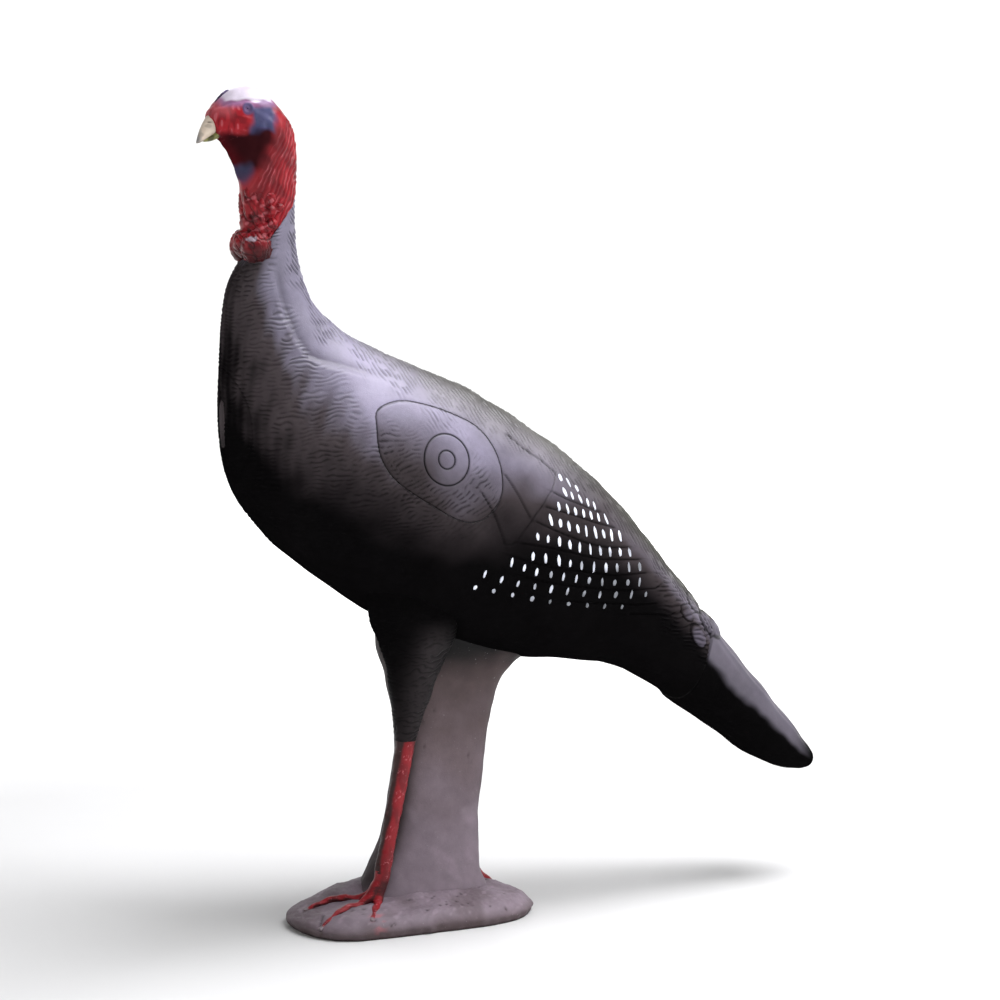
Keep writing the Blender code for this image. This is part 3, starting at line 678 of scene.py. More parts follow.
def painted_foam(name, roughness=0.42, wear=(0.30, 0.27, 0.30), wear_amount=0.12, grain=1.0, mottling=0.14,
                 speckle=0.0):
    """Satin paint over self-skinned foam: mottled coats, rubbed high spots, painted shade in hollows, dust
    specks and fine pores.
    """
    made, tree, shader = new_material(name)
    coords = tree.nodes.new("ShaderNodeTexCoord").outputs["Object"]
    layer = tree.nodes.new("ShaderNodeAttribute")
    layer.attribute_name = "paint"
    broad = noise_node(tree, coords, 14.0, 3.0)
    middle = noise_node(tree, coords, 90.0, 5.0, 0.65)
    fine = noise_node(tree, coords, 900.0, 3.0, 0.7)
    shade = range_node(tree, broad, 0.3, 0.7, 1 - mottling, 1 + mottling)
    shade = math_node(tree, "MULTIPLY", shade, range_node(tree, middle, 0.3, 0.7, 0.90, 1.10))
    scaled = tree.nodes.new("ShaderNodeVectorMath")
    scaled.operation = "SCALE"
    colour = wire(tree, scaled, {0: layer.outputs["Color"], "Scale": shade}, "Vector")
    edges = tree.nodes.new("ShaderNodeNewGeometry").outputs["Pointiness"]
    rubbed = range_node(tree, edges, 0.530, 0.66, 0.0, wear_amount)
    rubbed = math_node(tree, "MULTIPLY", rubbed, range_node(tree, middle, 0.35, 0.65, 0.2, 1.0))
    colour = blend_node(tree, "MIX", rubbed, colour, (*wear, 1.0))
    # Painted shade: the colour is darkened where the surface is hollow.
    hollow_shade = range_node(tree, edges, 0.480, 0.38, 0.0, 0.80)
    colour = blend_node(tree, "MULTIPLY", hollow_shade, colour, HOLLOW_SHADE_TINT)
    specks = range_node(tree, noise_node(tree, coords, 420.0, 2.0), 0.70, 0.76, 0.0, speckle)
    colour = blend_node(tree, "MIX", specks, colour, SPECK)
    tree.links.new(colour, shader.inputs["Base Color"])
    gloss = math_node(tree, "ADD", range_node(tree, middle, 0.3, 0.7, -0.07, 0.10),
                      range_node(tree, broad, 0.3, 0.7, roughness - 0.04, roughness + 0.05))
    tree.links.new(gloss, shader.inputs["Roughness"])
    tree.links.new(layer.outputs["Alpha"], shader.inputs["Specular IOR Level"])
    pores = wire(tree, tree.nodes.new("ShaderNodeTexVoronoi"), {"Vector": coords, "Scale": 260.0}, "Distance")
    pits = range_node(tree, pores, 0.0, 0.22, -1.0, 0.0)
    height = math_node(tree, "MULTIPLY", pits, 0.5)
    for noise, weight in ((fine, 0.7), (middle, 1.4)):
        height = math_node(tree, "ADD", height, math_node(tree, "MULTIPLY", noise, weight))
    add_bump(tree, shader, height, 0.55 * grain, 0.0004)
    return made


def plain_material(name, colour, roughness, metallic, streak):
    """Steel or wood: a streaked colour along Z with fine grain."""
    made, tree, shader = new_material(name)
    coords = tree.nodes.new("ShaderNodeTexCoord").outputs["Object"]
    stretched = wire(tree, tree.nodes.new("ShaderNodeMapping"), {"Vector": coords, "Scale": streak}, "Vector")
    grain = noise_node(tree, stretched, 60.0, 6.0, 0.6)
    dark = tuple(value * 0.62 for value in colour)
    tone = range_node(tree, grain, 0.35, 0.65, 0.0, 1.0)
    tree.links.new(blend_node(tree, "MIX", tone, (*dark, 1.0), (*colour, 1.0)), shader.inputs["Base Color"])
    gloss = range_node(tree, grain, 0.3, 0.7, roughness - 0.08, roughness + 0.10)
    tree.links.new(gloss, shader.inputs["Roughness"])
    shader.inputs["Metallic"].default_value = metallic
    add_bump(tree, shader, grain, 0.3, 0.0002)
    return made


PLUMAGE = painted_foam("plumage_paint", roughness=0.40)
DARK_PLUMAGE = painted_foam("dark_plumage_paint", roughness=0.40, wear=(0.12, 0.11, 0.12))
GROUND = painted_foam("ground_paint", roughness=0.55, wear=(0.42, 0.38, 0.42), wear_amount=0.2, grain=1.5,
                      speckle=0.40)
SKIN = painted_foam("skin_paint", roughness=0.32, wear=(0.60, 0.15, 0.18), wear_amount=0.15, grain=0.8)
LEG_PAINT = painted_foam("leg_paint", roughness=0.40, wear=(0.62, 0.24, 0.18), wear_amount=0.5, speckle=0.15)
HORN = painted_foam("beak_paint", roughness=0.36, wear=(0.70, 0.62, 0.52), grain=0.5)
DAB_PAINT = painted_foam("dab_paint", roughness=0.50, wear=(0.85, 0.85, 0.90), grain=0.6, mottling=0.10)
EYE_PAINT = painted_foam("eye_paint", roughness=0.20, wear=(0.10, 0.12, 0.18), grain=0.15, mottling=0.1)
STEEL = plain_material("steel_tube", (0.52, 0.52, 0.53), 0.34, 1.0, (4.0, 4.0, 0.4))
WOOD = plain_material("dowel_wood", (0.48, 0.33, 0.20), 0.65, 0.0, (6.0, 6.0, 1.0))


# ---- Torso -------------------------------------------------------------------------------------

def stroke_waves(points, slope, pitch, seed, wander=1.0):
    """Short wavy feather strokes at that slope in side view, in degrees: -1 in a valley, 1 on a crest."""
    slope = math.radians(slope)
    travel = points[..., 2] * math.cos(slope) - points[..., 0] * math.sin(slope)
    warp = wander * (2.0 * ripple(points, 0.040, seed) + 0.8 * ripple(points, 0.015, seed + 1))
    phase = 2 * math.pi * travel / pitch + warp
    broken = ramp(-0.9, 0.2, ripple(points, 0.012, seed + 2))
    return (np.sin(phase) + 0.28 * np.sin(2 * phase)) * broken / 1.15


def groove(points, line, width=0.0009, depth=0.0012, step=0.0, reach=0.010, closed=False):
    """An engraved line as (relief, painted shade in it); with a step, its left side stands proud and eases
    away.
    """
    distance, share = line_distance(points, line, closed)
    line_mask = bell(distance, width)
    if not closed:
        line_mask = line_mask * ramp(0.0, 0.04, share) * ramp(1.0, 0.96, share)
    relief = -depth * line_mask
    if step:
        relief = relief + step * ramp(-0.0006, 0.0010, distance) * np.exp(-np.abs(distance) / reach)
    return relief, line_mask


def covert_relief(points):
    """Small overlapping rounded feathers where the tail leaves the body, as (relief, painted shade along
    their rims).
    """
    side_view = points[..., (0, 2)]
    height = np.zeros(side_view.shape[:-1])
    rim = np.zeros(height.shape)
    for x, z, long, wide, angle, rise in COVERTS:
        offset = side_view - np.array((x, z))
        along = offset[..., 0] * math.cos(angle) + offset[..., 1] * math.sin(angle)
        aside = offset[..., 1] * math.cos(angle) - offset[..., 0] * math.sin(angle)
        reach = np.hypot(along / long, aside / wide)
        dome = rise * np.sqrt(np.clip(1 - reach ** 4, 0.0, 1.0)) * (1 + 0.35 * along / long)
        rim = np.where(dome > height, bell(reach - 1.0, 0.12), np.maximum(rim, bell(reach - 1.05, 0.07)))
        height = np.maximum(height, dome)
    facing = ramp(0.004, 0.014, np.abs(points[..., 1]))
    return height * facing, rim * facing


def feather_strokes(points, across):
    """Strokes on the ridge of the back, nape, throat, breast and flank; the wing panels stay smooth."""
    side_view = points[..., (0, 2)]
    x, _, z = axes(points)
    wander = 0.10 * ripple(points, 0.05, 41)
    high = ramp(0.56, 0.64, z)
    ridge = ramp(0.56, 0.72, across + wander)
    patchy = 0.55 + 0.45 * ramp(-0.6, 0.6, ripple(points, 0.045, 42))
    back = 1.45 * ridge * stroke_waves(points, -66.0, 0.0041, 11, 0.6) * (1 - high)
    nape = 1.2 * ramp(0.52, 0.78, across + wander) * stroke_waves(points, -52.0, 0.0036, 14, 0.6) * high
    throat = ramp(0.42, 0.10, across + wander) * ramp(0.50, 0.56, z)
    breast = ramp(0.36, 0.10, across + wander) * ramp(0.36, 0.42, z) * ramp(0.03, -0.03, x)
    front = np.maximum(throat, breast) * (1 - ridge) * patchy * stroke_waves(points, 4.0, 0.0044, 17, 1.5)
    flank = bell(line_distance(side_view, FLANK_STROKES)[0], 0.030) * (1 - ridge)
    flank = flank * (1 - 0.8 * ramp(0.03, -0.05, x) * ramp(0.42, 0.50, z))
    shoulder = bell(line_distance(side_view, SHOULDER_STROKES)[0], 0.022)
    rump = ramp(0.240, 0.262, x) * ramp(0.9, 0.5, across) * ramp(-0.25, 0.05, across)
    total = (back + nape + front + 1.1 * flank * stroke_waves(points, 31.0, 0.0048, 20, 1.2)
             + shoulder * (1 - ridge) * stroke_waves(points, -58.0, 0.0042, 11)
             + 1.4 * rump * stroke_waves(points, -8.0, 0.0046, 23))
    from_rings = np.hypot(x - RING_CENTRE[0], z - RING_CENTRE[1])
    panels = ramp(0.060, 0.078, x + 0.55 * (z - 0.42)) * ramp(0.80, 0.62, across) * ramp(0.262, 0.245, x)
    return total * (1 - panels) * ramp(0.025, 0.034, from_rings)


def ring_lines(distance):
    """1 on the two scoring rings at that distance from their middle, 0 away from them."""
    return sum(bell(distance - radius, 0.0009) for radius in RING_RADII)


def breast_egg(points, normals):
    """The egg outline and its rings, engraved faintly on the breast, as (relief, painted shade in the lines).
    """
    front_view = points[..., (1, 2)]
    breast = ramp(-0.10, -0.14, points[..., 0]) * ramp(-0.2, -0.5, normals[..., 0])
    angles = ring_angles(48)
    half_y, half_z = BREAST_EGG_HALF
    egg_y = half_y * np.sin(angles) * (1 - 0.16 * np.cos(angles))
    egg_z = BREAST_EGG_Z + half_z * np.cos(angles)
    relief, mask = groove(front_view, np.column_stack((egg_y, egg_z)), closed=True)
    rings = ring_lines(np.hypot(front_view[..., 0], front_view[..., 1] - BREAST_RINGS_Z))
    return 0.7 * breast * (relief - 0.0006 * rings), 0.35 * breast * (mask + rings)


def torso_relief(points, normals, across):
    """The moulded detail over the plain body, as (height, painted shade in its lines, folds and stroke
    valleys).
    """
    side_view = points[..., (0, 2)]
    facing = ramp(0.15, 0.45, np.abs(normals[..., 1]))
    strokes = feather_strokes(points, across)
    relief = 0.00055 * strokes
    # Painted shade in the strokes' valleys.
    groove_shade = 0.50 * ramp(0.1, -0.9, strokes)
    fold, share = line_distance(side_view, SHOULDER_FOLD)
    fade = facing * ramp(0.0, 0.15, share) * ramp(1.0, 0.65, share)
    upper = ramp(-0.0055, 0.0055, fold)
    relief += fade * (0.0012 * (1 - upper) * np.exp(-np.abs(fold) / 0.014)
                      - 0.0034 * upper * np.exp(-np.abs(fold) / 0.013))
    # Painted shade along the shoulder fold's valley.
    groove_shade += 0.35 * fade * bell(fold - 0.003, 0.0060)
    wing = facing * ramp(0.030, 0.045, points[..., 0])
    tiles = [(0.60, smooth_rows(line, 4), 0.0008, 0.0011, 0.0006, 0.007) for line in TILE_LINES]
    feathers = [(0.62, line, 0.0009, 0.0012, 0.0008, 0.009) for line in FEATHER_LINES]
    # Painted shade in the engraved tile and feather lines.
    for line_shade, *shape in tiles + feathers:
        lowered, mask = groove(side_view, *shape)
        relief += wing * lowered
        groove_shade += line_shade * wing * mask
    egg, _ = line_distance(side_view, smooth_rows(CORE_OUTLINE, 4, closed=True), closed=True)
    relief -= facing * 0.0010 * np.exp(-np.abs(egg) / 0.0011)
    # Painted shade in the egg outline's groove.
    groove_shade += 0.60 * facing * bell(egg, 0.0011)
    lowered, line_shade = breast_egg(points, normals)
    seam = bell(points[..., 1], 0.0010) * ramp(0.05, -0.05, across)
    relief += lowered + 0.0008 * seam * (0.6 + 0.4 * ripple(points, 0.03, 5))
    # Painted shade round the coverts' rims.
    coverts, rims = covert_relief(points)
    relief += coverts + 0.0006 * ripple(points, 0.060, 17)
    return relief, np.clip(groove_shade + line_shade + 0.85 * rims, 0.0, 1.0)


def body_paint(points, across, groove_shade):
    """Violet bronze over black: two-tone paint that also stands for painted light on top and painted shade
    towards the belly, with a painted shoulder highlight and painted shade in the lines: (colours, shine).
    """
    x, _, z = axes(points)
    drift = 0.05 * ripple(points, 0.11, 23) + 0.025 * ripple(points, 0.035, 24)
    edge = np.interp(x, (-0.19, -0.12, -0.05, 0.01, 0.06, 0.12, 0.20, 0.28, 0.34),
                     (-0.05, -0.12, -0.05, 0.10, 0.30, 0.52, 0.72, 0.54, 0.46))
    edge = edge - 0.25 * ramp(0.56, 0.62, z)
    level = across + drift - edge
    neck = ramp(0.390, 0.560, z) * ramp(-0.04, -0.14, x)
    streaks = 0.12 * ripple(points * (1.0, 1.0, 0.25), 0.012, 25) * neck
    # Partly painted light: the upper coat spreads over the surfaces that face upwards, and black stands for
    # shade towards the belly.
    warm = ramp(-0.55 - 0.15 * neck, 0.14 - 0.08 * neck, level + 0.40 * neck + streaks)
    lit = ramp(-0.12, 0.44 + 0.24 * neck, level + 0.12 * neck + streaks)
    top = mix(VIOLET, BACK_BROWN, ramp(0.50, 0.85, across) * ramp(-0.06, 0.02, x))
    # Painted shade on the front of the neck and breast.
    top = coats(top, (top * 0.66, ramp(-0.055, -0.125, x)),
                (DARK_OLIVE * 1.6, 0.75 * ramp(0.78, 0.98, across) * ramp(-0.10, -0.02, x)),
                (DARK_OLIVE, 0.85 * ramp(0.60, 0.90, across) * ramp(0.120, 0.250, x)))
    # Painted highlight on the shoulder.
    shoulder_highlight = bell(np.hypot((x + 0.045) / 1.9, z - 0.541 + 0.25 * (x + 0.045)), 0.026)
    # Painted light on the coverts' raised tops.
    lit_covert_domes = ramp(0.0012, 0.0026, covert_relief(points)[0])
    colours = coats(mix(BLACK, BRONZE, warm), (top, lit), (VIOLET * 1.45, 0.55 * shoulder_highlight),
                    (LIT_TAIL_TOP, 0.85 * lit_covert_domes), (BLACK, 0.85 * groove_shade))
    return colours, 0.30 * lit


def make_torso():
    """Body and neck; returns the uncut skin as a search tree for the pieces that lie on it."""
    points, across = body_grid(BODY_STATIONS, 48, 500, crowd=0.16)
    relief, groove_shade = torso_relief(points, grid_normals(points), across)
    points = raised(points, relief)
    torso = closed_mesh("torso_skin", points)
    colours, shine = body_paint(points, across, groove_shade)
    paint(torso, with_caps(colours), with_caps(shine))
    shape = torso.data
    tree = BVHTree.FromPolygons([v.co for v in shape.vertices], [p.vertices for p in shape.polygons])
    outline = smooth_rows(CORE_OUTLINE, 24, closed=True)
    directions = outline - np.array(RING_CENTRE)
    grown = outline + directions / np.linalg.norm(directions, axis=1)[:, None] * CORE_GAP
    prism = np.zeros((31, len(grown), 3))
    prism[..., (0, 2)] = grown[None]
    prism[..., 1] = np.linspace(-POCKET_REACH, POCKET_REACH, len(prism))[:, None]
    tool = closed_mesh("pocket_tool", prism)
    paint(tool, FOAM, FOAM_SHINE)
    cut(torso, tool)
    crease(torso)
    hand_over(torso, PLUMAGE, TARGET, "bronze_plumage", "torso")
    return tree


def skin_depths(tree, plan, side):
    """Depth of the torso's skin under each (x, z) of a grid, seen from that side; NaN off the body."""
    hits = [tree.ray_cast(Vector((x, 0.3 * side, z)), Vector((0, -side, 0)))[0]
            for x, z in plan.reshape(-1, 2).tolist()]
    return np.array([math.nan if hit is None else hit.y for hit in hits]).reshape(plan.shape[:-1])


def make_core(tree):
    """The egg plug: both flanks' skin with its rings, and the cut foam wall between them."""
    rounds = 110
    middle = np.array(RING_CENTRE)
    angles = ring_angles(320)
    rim = polar_radius(smooth_rows(CORE_OUTLINE, 24, closed=True), middle, angles)
    shares = np.linspace(0.004, 1.0, rounds)[:, None]
    plan = middle + (shares * rim)[..., None] * np.stack((np.cos(angles), np.sin(angles)), axis=-1)
    to_edge = (1 - shares) * rim
    rings = ring_lines(np.hypot(*(plan - middle).transpose(2, 0, 1)))
    relief = 0.0010 * np.exp(-to_edge / 0.0011) - 0.0013 * rings - 0.0010 * np.exp(-to_edge / 0.0006)
    faces = []
    for side in (-1, 1):
        depth = skin_depths(tree, plan, side) + side * relief
        faces.append(np.stack((plan[..., 0], depth, plan[..., 1]), axis=-1))
    near, far = faces
    walls = np.linspace(0.0, 1.0, 26)[1:-1, None, None]
    wall = near[-1][None] * (1 - walls) + far[-1][None] * walls
    shape = np.concatenate((near, wall, far[::-1]))
    core = closed_mesh("scoring_core", shape)
    across = ((shape[..., 2] - 0.4305) * 0.64 + (shape[..., 0] - 0.0018) * 0.76) / 0.126
    groove_shade = np.zeros(shape.shape[:2])
    # Painted shade in the rings, along the rim and in the face's valleys.
    face_groove_shade = np.clip(0.60 * rings + 0.60 * np.exp(-to_edge / 0.0008) + 2.2 * face_valleys(near), 0.0, 1.0)
    groove_shade[:rounds] = face_groove_shade
    groove_shade[-rounds:] = face_groove_shade[::-1]
    colours, shine = body_paint(shape, across, groove_shade)
    colours[rounds:-rounds] = CORE_WALL
    shine[rounds:-rounds] = FOAM_SHINE
    paint(core, with_caps(colours), with_caps(shine))
    crease(core)
    hand_over(core, PLUMAGE, CORE, "bronze_plumage", "vital_core")


def face_valleys(points):
    """How far each point of a flank face lies below its neighbours' level, in millimetres."""
    depth = np.abs(points[..., 1])
    level = depth.copy()
    for _ in range(6):
        level = (np.roll(level, 1, axis=1) + np.roll(level, -1, axis=1) + level) / 3
        level[1:-1] = (level[:-2] + level[2:] + level[1:-1]) / 3
    return np.clip((level - depth) * 1000, 0.0, 0.4)


def make_dabs(tree):
    """White paint dabs between the wing's feather lines, each a thin lens of paint on the skin."""
    random = np.random.default_rng(7)
    rings = 5
    count = 18
    angles = ring_angles(count)
    shares = np.arange(1, rings + 1)[:, None] / rings
    lifts = 0.00035 * np.sqrt(1 - shares ** 4)
    lifts[-1] = -0.0004
    lifts = np.concatenate((np.repeat(lifts, count), (0.00037, -0.0010)))
    for word, side in SIDES:
        verts = []
        faces = []
        for number, half_height, lean, *line in DAB_ROWS:
            for x, z in even_points(line, number).tolist():
                height = half_height * random.uniform(0.85, 1.25)
                width = random.uniform(0.0016, 0.0024)
                tilt = lean + random.uniform(-0.08, 0.08)
                wobble = 1 + 0.10 * np.sin(2 * angles + random.uniform(0, 6)) + 0.06 * np.sin(5 * angles)
                x += random.uniform(-0.0006, 0.0006)
                along = height * shares * np.sin(angles) * wobble
                wide = width * shares * np.cos(angles) * wobble
                ring_x = x + wide * math.cos(tilt) - along * math.sin(tilt)
                ring_z = z + wide * math.sin(tilt) + along * math.cos(tilt)
                plan = np.column_stack(((*ring_x.ravel(), x, x), (*ring_z.ravel(), z, z)))
                depth = skin_depths(tree, plan, side) + side * lifts
                faces += closed_faces(rings, count, len(verts))
                verts += np.column_stack((plan[:, 0], depth, plan[:, 1])).tolist()
        dabs = mesh_object(word + "_wing_dabs", verts, faces)
        flat = np.array(verts)
        # The dabs are darker towards the bottom of the wing.
        darker_below = ramp(0.385, 0.310, flat[:, 2] - 0.25 * (flat[:, 0] - 0.150)) + 0.25 * ripple(flat, 0.02, 8)
        paint(dabs, mix(UPPER_DAB, LOWER_DAB, np.clip(darker_below, 0, 1)), FOAM_SHINE)
        hand_over(dabs, DAB_PAINT, TARGET, "bronze_plumage")


def make_tail():
    points, across = body_grid(TAIL_STATIONS, 30, 300, power=2.4, bias=0.0)
    coverts, rims = covert_relief(points)
    ribs = np.sin(points[..., 1] * 2 * math.pi / 0.0075 + 0.6 * ripple(points, 0.06, 62))
    relief = coverts + 0.0006 * ripple(points, 0.05, 61) + 0.0002 * ribs * ramp(0.2, 0.6, np.abs(across))
    points = raised(points, relief)
    patchy = 0.06 * ripple(points, 0.06, 63) + 0.025 * ripple(points, 0.016, 64)
    # Painted light: the tail's upper side is lighter, as if lit from above.
    top = ramp(-0.06, 0.20, across + patchy) * ramp(0.452, 0.420, points[..., 0])
    # Painted shade round the coverts' rims.
    colours = coats(mix(BLACK, LIT_TAIL_TOP, top), (OLIVE * 0.5, 0.8 * ramp(0.86, 0.98, across) * top),
                    (BLACK, 0.8 * rims))
    add_piece("tail_fan", points, colours, 0.20 * top, DARK_PLUMAGE, "dark_plumage", "tail")


# ---- Head --------------------------------------------------------------------------------------

def nape_lines(points):
    """Fine folds leaning down towards the throat: -1 in a fold, 1 on a ridge."""
    x, _, z = axes(points)
    wander = 1.4 * ripple(points, 0.03, 81) + 0.9 * ripple(points, 0.009, 80)
    return np.sin(2 * math.pi * (x * 0.90 - z * 0.43) / 0.0042 + wander)


def face_lines(points):
    """Wrinkles fanning out from the beak's root: upright near it, level further back."""
    upright = ripple(points * (1.0, 1.0, 0.40), 0.0060, 82)
    level = ripple(points * (0.35, 1.0, 1.0), 0.0060, 79)
    return mix(upright[..., None], level[..., None], ramp(-0.186, -0.172, points[..., 0]))[..., 0]


def head_relief(points, normals):
    """Wrinkles, folds, the rim round each eye and the brow."""
    x, _, z = axes(points)
    facing = ramp(0.15, 0.5, np.abs(normals[..., 1]))
    nape = ramp(0.0, 0.014, x - dark_edge(z)) * ramp(0.806, 0.785, z)
    relief = 0.00034 * nape * nape_lines(points)
    face = ramp(-0.165, -0.178, x) * ramp(0.780, 0.788, z) * ramp(0.812, 0.806, z)
    relief += 0.00018 * face * facing * face_lines(points)
    relief += 0.00045 * ripple(points, 0.010, 83) * ramp(0.815, 0.80, z)
    for side in (-1, 1):
        distance = np.linalg.norm(points - (EYE[0], side * EYE_RIM_Y, EYE[1]), axis=-1)
        relief += 0.0004 * bell(distance - 0.0052, 0.0011) - 0.0006 * bell(distance - 0.0036, 0.0009)
    brow = line_distance(points[..., (0, 2)], BROW)[0]
    return relief - 0.0008 * facing * bell(brow, 0.0014)


def dark_edge(z):
    """Where the dark throat ends and the red nape begins."""
    return -0.1420 - 0.46 * (0.786 - z)


def head_paint(points):
    """Airbrushed patches over the red face and nape, painted highlights and shade on their folds and
    wrinkles, and the white crown: (colours, shine).
    """
    x, _, z = axes(points)
    wander = 0.0018 * ripple(points, 0.016, 87)
    past_edge = x - dark_edge(z)
    nape = ramp(0.0, 0.014, past_edge) * ramp(0.812, 0.790, z)
    folds = nape_lines(points)
    face = ramp(-0.160, -0.176, x) * ramp(0.779, 0.788, z)
    wrinkles = face_lines(points)
    red = coats(
        np.broadcast_to(RED * 0.72, points.shape),
        (DEEP_RED, 0.75 * ramp(-0.1, 0.9, ripple(points, 0.022, 84))),
        # Painted shade in the nape's folds.
        (DEEP_RED * 0.8, 0.55 * nape * ramp(-0.1, -0.9, folds)),
        (DEEP_RED, 0.65 * nape * bell(past_edge - 0.010, 0.012)),
        # Painted highlight on the nape folds' ridges.
        (PINK * 0.8, 0.50 * nape * ramp(0.7, 1.0, folds) * ramp(-0.2, 0.9, ripple(points, 0.012, 86))),
        (RED * 0.85, 0.7 * face),
        # Painted highlight on the face's wrinkles, then painted shade between them.
        (PINK * 0.8, 0.45 * face * ramp(0.35, 1.0, wrinkles)),
        (DEEP_RED, 0.6 * face * ramp(-0.2, -0.8, wrinkles)),
        # Painted highlight on the upper front of the face.
        (PINK * 0.75, 0.5 * ramp(-0.178, -0.190, x) * ramp(0.794, 0.806, z)))
    top_edge = 0.7870 + 0.0060 * ramp(-0.174, -0.164, x)
    dark = ramp(0.0, -0.009, z + wander - top_edge) * ramp(0.738, 0.752, z + wander)
    dark = dark * ramp(0.013, -0.006, past_edge + wander + 0.5 * np.maximum(z - 0.774, 0.0))
    throat_x = np.interp(z, (0.700, 0.738, 0.760, 0.777), (-0.166, -0.1715, -0.180, -0.193))
    blue = ramp(0.780, 0.789, z + wander) * ramp(0.811, 0.805, z)
    blue = blue * ramp(-0.170, -0.163, x + wander) * ramp(-0.138, -0.146, x + wander)
    small = ramp(0.0110, 0.0030, np.hypot(x + 0.1705, (z - 0.7440) * 0.70) + 0.8 * wander)
    lilac = ramp(0.8045, 0.8115, z) * ramp(-0.198, -0.190, x) * ramp(-0.130, -0.142, x)
    from_eye = np.hypot(x - EYE[0], z - EYE[1])
    crown = ramp(0.8118, 0.8150, z + 0.0010 * ripple(points, 0.012, 85))
    crown = crown * ramp(-0.192, -0.187, x) * ramp(-0.122, -0.134, x)
    colours = coats(
        red,
        (MAROON, 0.97 * dark),
        (DEEP_RED, 0.35 * dark * bell(x - throat_x, 0.006)),
        (BLUE, 0.95 * blue),
        (BLUE * (0.85, 0.80, 0.68), 0.85 * small),
        (LILAC, 0.65 * lilac),
        (BLUE * 1.15, 0.80 * ramp(0.0068, 0.0040, from_eye + 0.4 * wander)),
        (WHITE, crown))
    return colours, SKIN_SHINE * (1 - np.clip(dark + small + 0.5 * face, 0.0, 1.0))


def make_head():
    points, _ = body_grid(HEAD_STATIONS, 30, 260, power=2.1, bias=0.0)
    points = raised(points, head_relief(points, grid_normals(points)))
    add_piece("head_skin", points, *head_paint(points), SKIN, "head_skin", "head")


def make_eyes():
    """Glossy balls with a flat round pupil, sunk into their rims."""
    for word, side in SIDES:
        bpy.ops.mesh.primitive_uv_sphere_add(segments=48, ring_count=32, radius=EYE_RADIUS)
        eye = bpy.context.object
        eye.name = word + "_eye_ball"
        points = read_vertices(eye)
        distance = np.hypot(points[:, 0], points[:, 2])
        outer = ramp(0.0022, EYE_RADIUS, side * points[:, 1])
        points[:, 1] -= side * 0.0004 * bell(distance - 0.0018, 0.0004) * outer
        move_vertices(eye, points + (EYE[0], side * EYE_Y, EYE[1]))
        eye.data.shade_smooth()
        paint(eye, mix(BLUE * 1.5, BLUE * 0.35, ramp(0.0021, 0.0014, distance)))
        hand_over(eye, EYE_PAINT, TARGET, "eye", word + "_eye")


def beak_grid(root_top, root_bottom, tip, half_width, bow):
    """Rings from the root to a rounded tip, the middle line bowed upwards by `bow` on its way."""
    shares = 1 - (1 - np.linspace(0.0, 1.0, 70)) ** 1.5
    shares[-1] = 0.9985
    shrink = ((1 - shares ** 1.9) ** 0.75)[:, None, None]
    root_top, root_bottom, tip = np.array((root_top, root_bottom, tip))
    middle = (root_top + root_bottom) / 2 * (1 - shares)[:, None] + tip * shares[:, None]
    middle[:, 2] += bow * np.sin(math.pi * shares)
    across, side = squircle(ring_angles(72), 2.0)
    spokes = across[:, None] * (root_top - root_bottom) / 2 + side[:, None] * np.array((0, half_width, 0))
    return middle[:, None] + shrink * spokes[None]


def make_beak():
    """Both halves of the beak, and the snood above it."""
    points = beak_grid(*UPPER_BEAK, 0.0108, 0.0024)
    for side in (-1, 1):
        offset = points - (NOSTRIL[0], side * 0.0068, NOSTRIL[1])
        points[..., 1] -= side * 0.0014 * bell(np.linalg.norm(offset * (0.7, 0.6, 1.5), axis=-1), 0.0013)
    x, _, z = axes(points)
    nostril = bell(np.hypot((x - NOSTRIL[0]) * 0.7, (z - NOSTRIL[1]) * 1.5), 0.0012)
    gape = ramp(0.0010, 0.0, z - np.interp(x, (-0.214, -0.1925), (0.7725, 0.7840)))
    colours = coats(mix(BONE, BEAK_GREY, ramp(-0.2085, -0.2125, x)),
                    (BONE * 0.55, 0.6 * ramp(0.3, 1.0, ripple(points, 0.010, 91))),
                    (NOSTRIL_DARK, 0.85 * nostril), (BEAK_GREY * 0.4, 0.6 * gape))
    add_piece("beak_top", points, colours, 0.45, HORN, "beak_horn", "beak_upper")
    points = beak_grid(*LOWER_BEAK, 0.0088, -0.0006)
    colours = mix(OLIVE * 1.3, OLIVE * 0.5, ramp(0.0, 0.8, ripple(points, 0.010, 92)))
    add_piece("beak_bottom", points, colours, 0.4, HORN, "beak_olive", "beak_lower")
    points = tube_grid(SNOOD_PATH, 12, 48)
    points = raised(points, 0.0003 * ripple(points, 0.006, 93))
    colours = mix(SNOOD_ROOT, SNOOD_TIP, ramp(-0.184, -0.190, points[..., 0]))
    add_piece("snood_nub", points, colours, 0.4, SKIN, "head_skin", "snood")


def lump(x, y, z, *sizes):
    """An ellipsoid, not yet linked to the scene."""
    mesh = bpy.data.meshes.new("lump")
    sheet = bmesh.new()
    bmesh.ops.create_icosphere(sheet, subdivisions=4, radius=1.0)
    for vertex in sheet.verts:
        vertex.co = Vector((x, y, z)) + vertex.co * Vector(sizes)
    sheet.to_mesh(mesh)
    sheet.free()
    return bpy.data.objects.new("lump", mesh)


